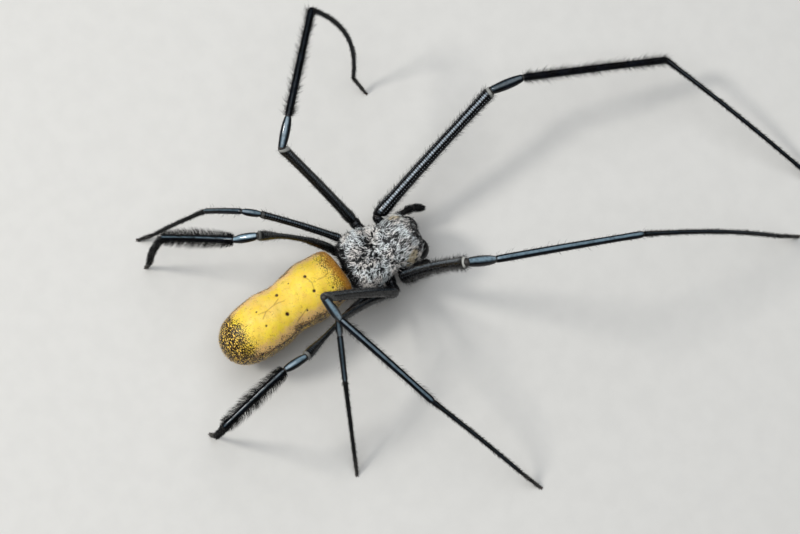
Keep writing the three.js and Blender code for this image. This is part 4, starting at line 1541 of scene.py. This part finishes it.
# Hair of each part as rows of [number per mm², shortest, longest, width, lean, curl, look]
legHairs = {
    "coxa": [[9, 0.2, 0.5, 0.03, 30, 12, "legHair"]],
    "femur": [[12, 0.2, 0.42, 0.022, 42, 10, "sideHair"], [0.8, 0.5, 0.9, 0.026, 50, 16, "sideHair"]],
    "shaggy": [[16, 0.3, 0.6, 0.022, 46, 10, "sideHair"], [6, 0.6, 0.95, 0.022, 54, 14, "sideHair"]],
    "patella": [[3, 0.2, 0.4, 0.022, 34, 10, "sideHair"]],
    "tibia": [[7, 0.2, 0.45, 0.024, 38, 12, "sideHair"], [1.0, 0.6, 1.0, 0.03, 52, 16, "legHair"]],
    "metatarsus": [[46, 0.22, 0.46, 0.028, 42, 10, "legHair"]],
    "tarsus": [[70, 0.18, 0.4, 0.03, 38, 10, "footHair"]],
    "fringe": [[12, 0.3, 0.6, 0.026, 42, 14, "sideHair"], [4, 0.6, 0.95, 0.03, 50, 14, "sideHair"]],
    "fuzzy": [[36, 0.3, 0.62, 0.026, 48, 10, "legHair"], [14, 0.7, 1.2, 0.024, 54, 12, "legHair"]],
    "brush": [[60, 0.8, 1.35, 0.03, 60, 8, "brushHair"], [22, 0.25, 0.45, 0.026, 40, 12, "sideHair"]],
    "sock": [[55, 0.2, 0.42, 0.028, 40, 10, "legHair"]],
    "thickSock": [[75, 0.3, 0.6, 0.03, 46, 10, "legHair"]],
}

# Parts with another kind of hair than their own, on both sides or on one
hairKinds = {
    ("femur", 1): "shaggy",
    ("tibia", 1, "left"): "fuzzy",
    ("tibia", 2, "left"): "fuzzy",
    ("tibia", 2): "fringe",
    ("tibia", 4): "brush",
    ("metatarsus", 3): "sock",
    ("metatarsus", 4): "thickSock",
}


# How far round from the top line, from 0 to 0.5
def turnFromTopLine(around):
    return np.abs((around + 0.25) % 1 - 0.5)


# Hair of the sides leaves the top bare
def besideTop(points, around, along):
    return 1.03 - bell(turnFromTopLine(around), 0.13)


# The brush stands out to both sides, like the vane of a feather
def atSides(points, around, along):
    return 0.12 + bell(turnFromTopLine(around) - 0.23, 0.09)


hairWeights = {"sideHair": besideTop, "brushHair": atSides}


def growOnPart(kind, surface, axis, length, radius, seed):
    growths = {}
    area = 2 * math.pi * radius * length
    capShare = 0.3 if length < 5 else 0.24
    along = (capShare, 1 - capShare)
    for k, (density, shortest, longest, width, lean, curl, look) in enumerate(legHairs[kind]):
        roots = scatter(surface, density * area, seed * 7 + k, along=along, weight=hairWeights.get(look))
        chance = roots["random"]
        size = shortest + (longest - shortest) * chance[:, 0]
        swing = 0.35
        if look == "brushHair":
            reach = roots["points"] @ axis
            share = (reach - reach.min()) / np.ptp(reach)
            size = size * (0.3 + 0.7 * np.sin(math.pi * share) ** 0.5)
            swing = 0.2
        lie = axis + (chance[:, :3] - 0.5) * swing
        lean = lean + 14 * (chance[:, 1] - 0.5)
        hair = growHair(roots, lie, size, width, lean, curl, 0.1 + 0.8 * chance[:, 3])
        growths.setdefault("legHair" if look == "sideHair" else look, []).append(hair)
    return growths


# The painted highlight band along the top of a part, its sides where painted glints go, and the pale ring
# where the femur meets the knee
def legMarks(name, pair, sideName, axis, end, square):
    inner, outer = sheenBands.get((name, pair), sheenBands[name])
    sheen = legSheen[sideName, pair]
    strength = dict(zip(partNames[1:5], sheen)).get(name, 0.05)

    def marks(points, around, along):
        turn = turnFromTopLine(around)
        ends = smoothStep(along, 0.24, 0.31) * (1 - smoothStep(along, 0.69, 0.76))
        rim = np.zeros(len(points))
        # the pale knee ring at the femur's end, kept to the top: a pale membrane, partly a painted
        # highlight
        if name == "femur":
            past = np.abs((points - end) @ square + 0.12)
            rim = 0.9 * sheen[-1] * (1 - smoothStep(past, 0.16, 0.3)) * (1 - smoothStep(turn, 0.2, 0.34))
        # the sides take the painted glint dots
        side = (1 - smoothStep(turn, 0.16, 0.26)) * min(strength * 0.8 + 0.1, 1)
        # the painted highlight band along the top
        top = (1 - smoothStep(turn, inner, outer)) * ends * strength
        return {"top": top, "rim": rim, "side": side * ends, "turn": turn, "reach": (end - points) @ axis}

    return marks


def makeClaws(heel, tip, radius):
    forward = unit((tip - heel) * [1, 1, 0])
    across = np.array([-forward[1], forward[0], 0])
    root = tip + [0, 0, radius * 0.35]
    ahead, aside, down = legBuild["clawReach"]
    parts = []
    for sign in (1, -1):
        end = root + forward * ahead + across * sign * aside + [0, 0, down]
        end[2] = max(end[2], 0.03)
        parts.append(closedMesh(limbSurface(root, end, legBuild["claw"], (0.07, 0)), 20, 12))
    return parts


def keepAboveFloor(points):
    return np.maximum(points, [-np.inf, -np.inf, 0])


def makeLeg(pair, sideName, side):
    joints = legJoints(pair, sideName, side)
    bows = dict(zip(["femur", "metatarsus"], stance[sideName][pair]["bows"]), tibia=legBuild["tibiaBow"])
    radii = legPairs[pair]["radii"]
    ways = [unit(end - start) for start, end in zip(joints[:-1], joints[1:])]
    squares = [unit(before + after) for before, after in zip(ways[:-1], ways[1:])]
    skins = [0, 0, 1, 2, 3 if pair > 2 else 2, 3]  # which of the materials each part wears
    parts = []
    growths = {}
    for i, name in enumerate(partNames):
        start, end = joints[i], joints[i + 1]
        length = np.linalg.norm(end - start)
        radius = radii[i] - legBuild["inset"]
        shares = outlines["spindle" if name == "femur" and pair == 4 else name]
        outline = [[share, width * radius] for share, width in shares]
        stops = []
        if i > 0:
            stops.append((start + squares[i - 1] * legBuild["gaps"][partNames[i - 1]], -squares[i - 1]))
        if name != "tarsus":
            stops.append((end - squares[i] * legBuild["gaps"][name], squares[i]))
            ball = 0.84 * min(outline[-1][1], radii[i + 1])
            parts.append(closedMesh(jointBall(end, ball), 14, 24, 4))
        shape = keepAboveFloor if name == "tarsus" else None
        bow = bows.get(name, (0, 0))
        surface = limbSurface(start, end, outline, bow, stops, legBuild["rimTaper"], shape)
        rings = int(length / legBuild["ringStep"]) + 26
        marks = legMarks(name, pair, sideName, ways[i], stops[-1][0], squares[min(i, 4)])
        parts.append(closedMesh(surface, rings, legBuild["around"], skins[i], marks))
        seed = 100 * pair + 10 * i + (5 if side < 0 else 0)
        kind = hairKinds.get((name, pair, sideName), hairKinds.get((name, pair), name))
        for look, hairs in growOnPart(kind, surface, ways[i], length, radius, seed).items():
            growths.setdefault(look, []).extend(hairs)
    leg = f"leg_{sideName}_{pair}"
    nodes = [f"{leg}_{name}" for name in partNames]
    materials = [looks[name] for name in ("femur", "patella", "shin", "foot", "joint")]
    addPiece(f"{leg}_skin", parts, materials, nodes)
    claws = makeClaws(joints[-2], joints[-1], radii[-1])
    addPiece(f"{leg}_claws", claws, [looks["horn"]], nodes[-1:])
    for look, hairs in growths.items():
        addCoat(f"{leg}_{look}", hairs, looks[look])


for sideName, side in sideSigns.items():
    for pair in legPairs:
        makeLeg(pair, sideName, side)
    print(f"{sideName} legs ready")
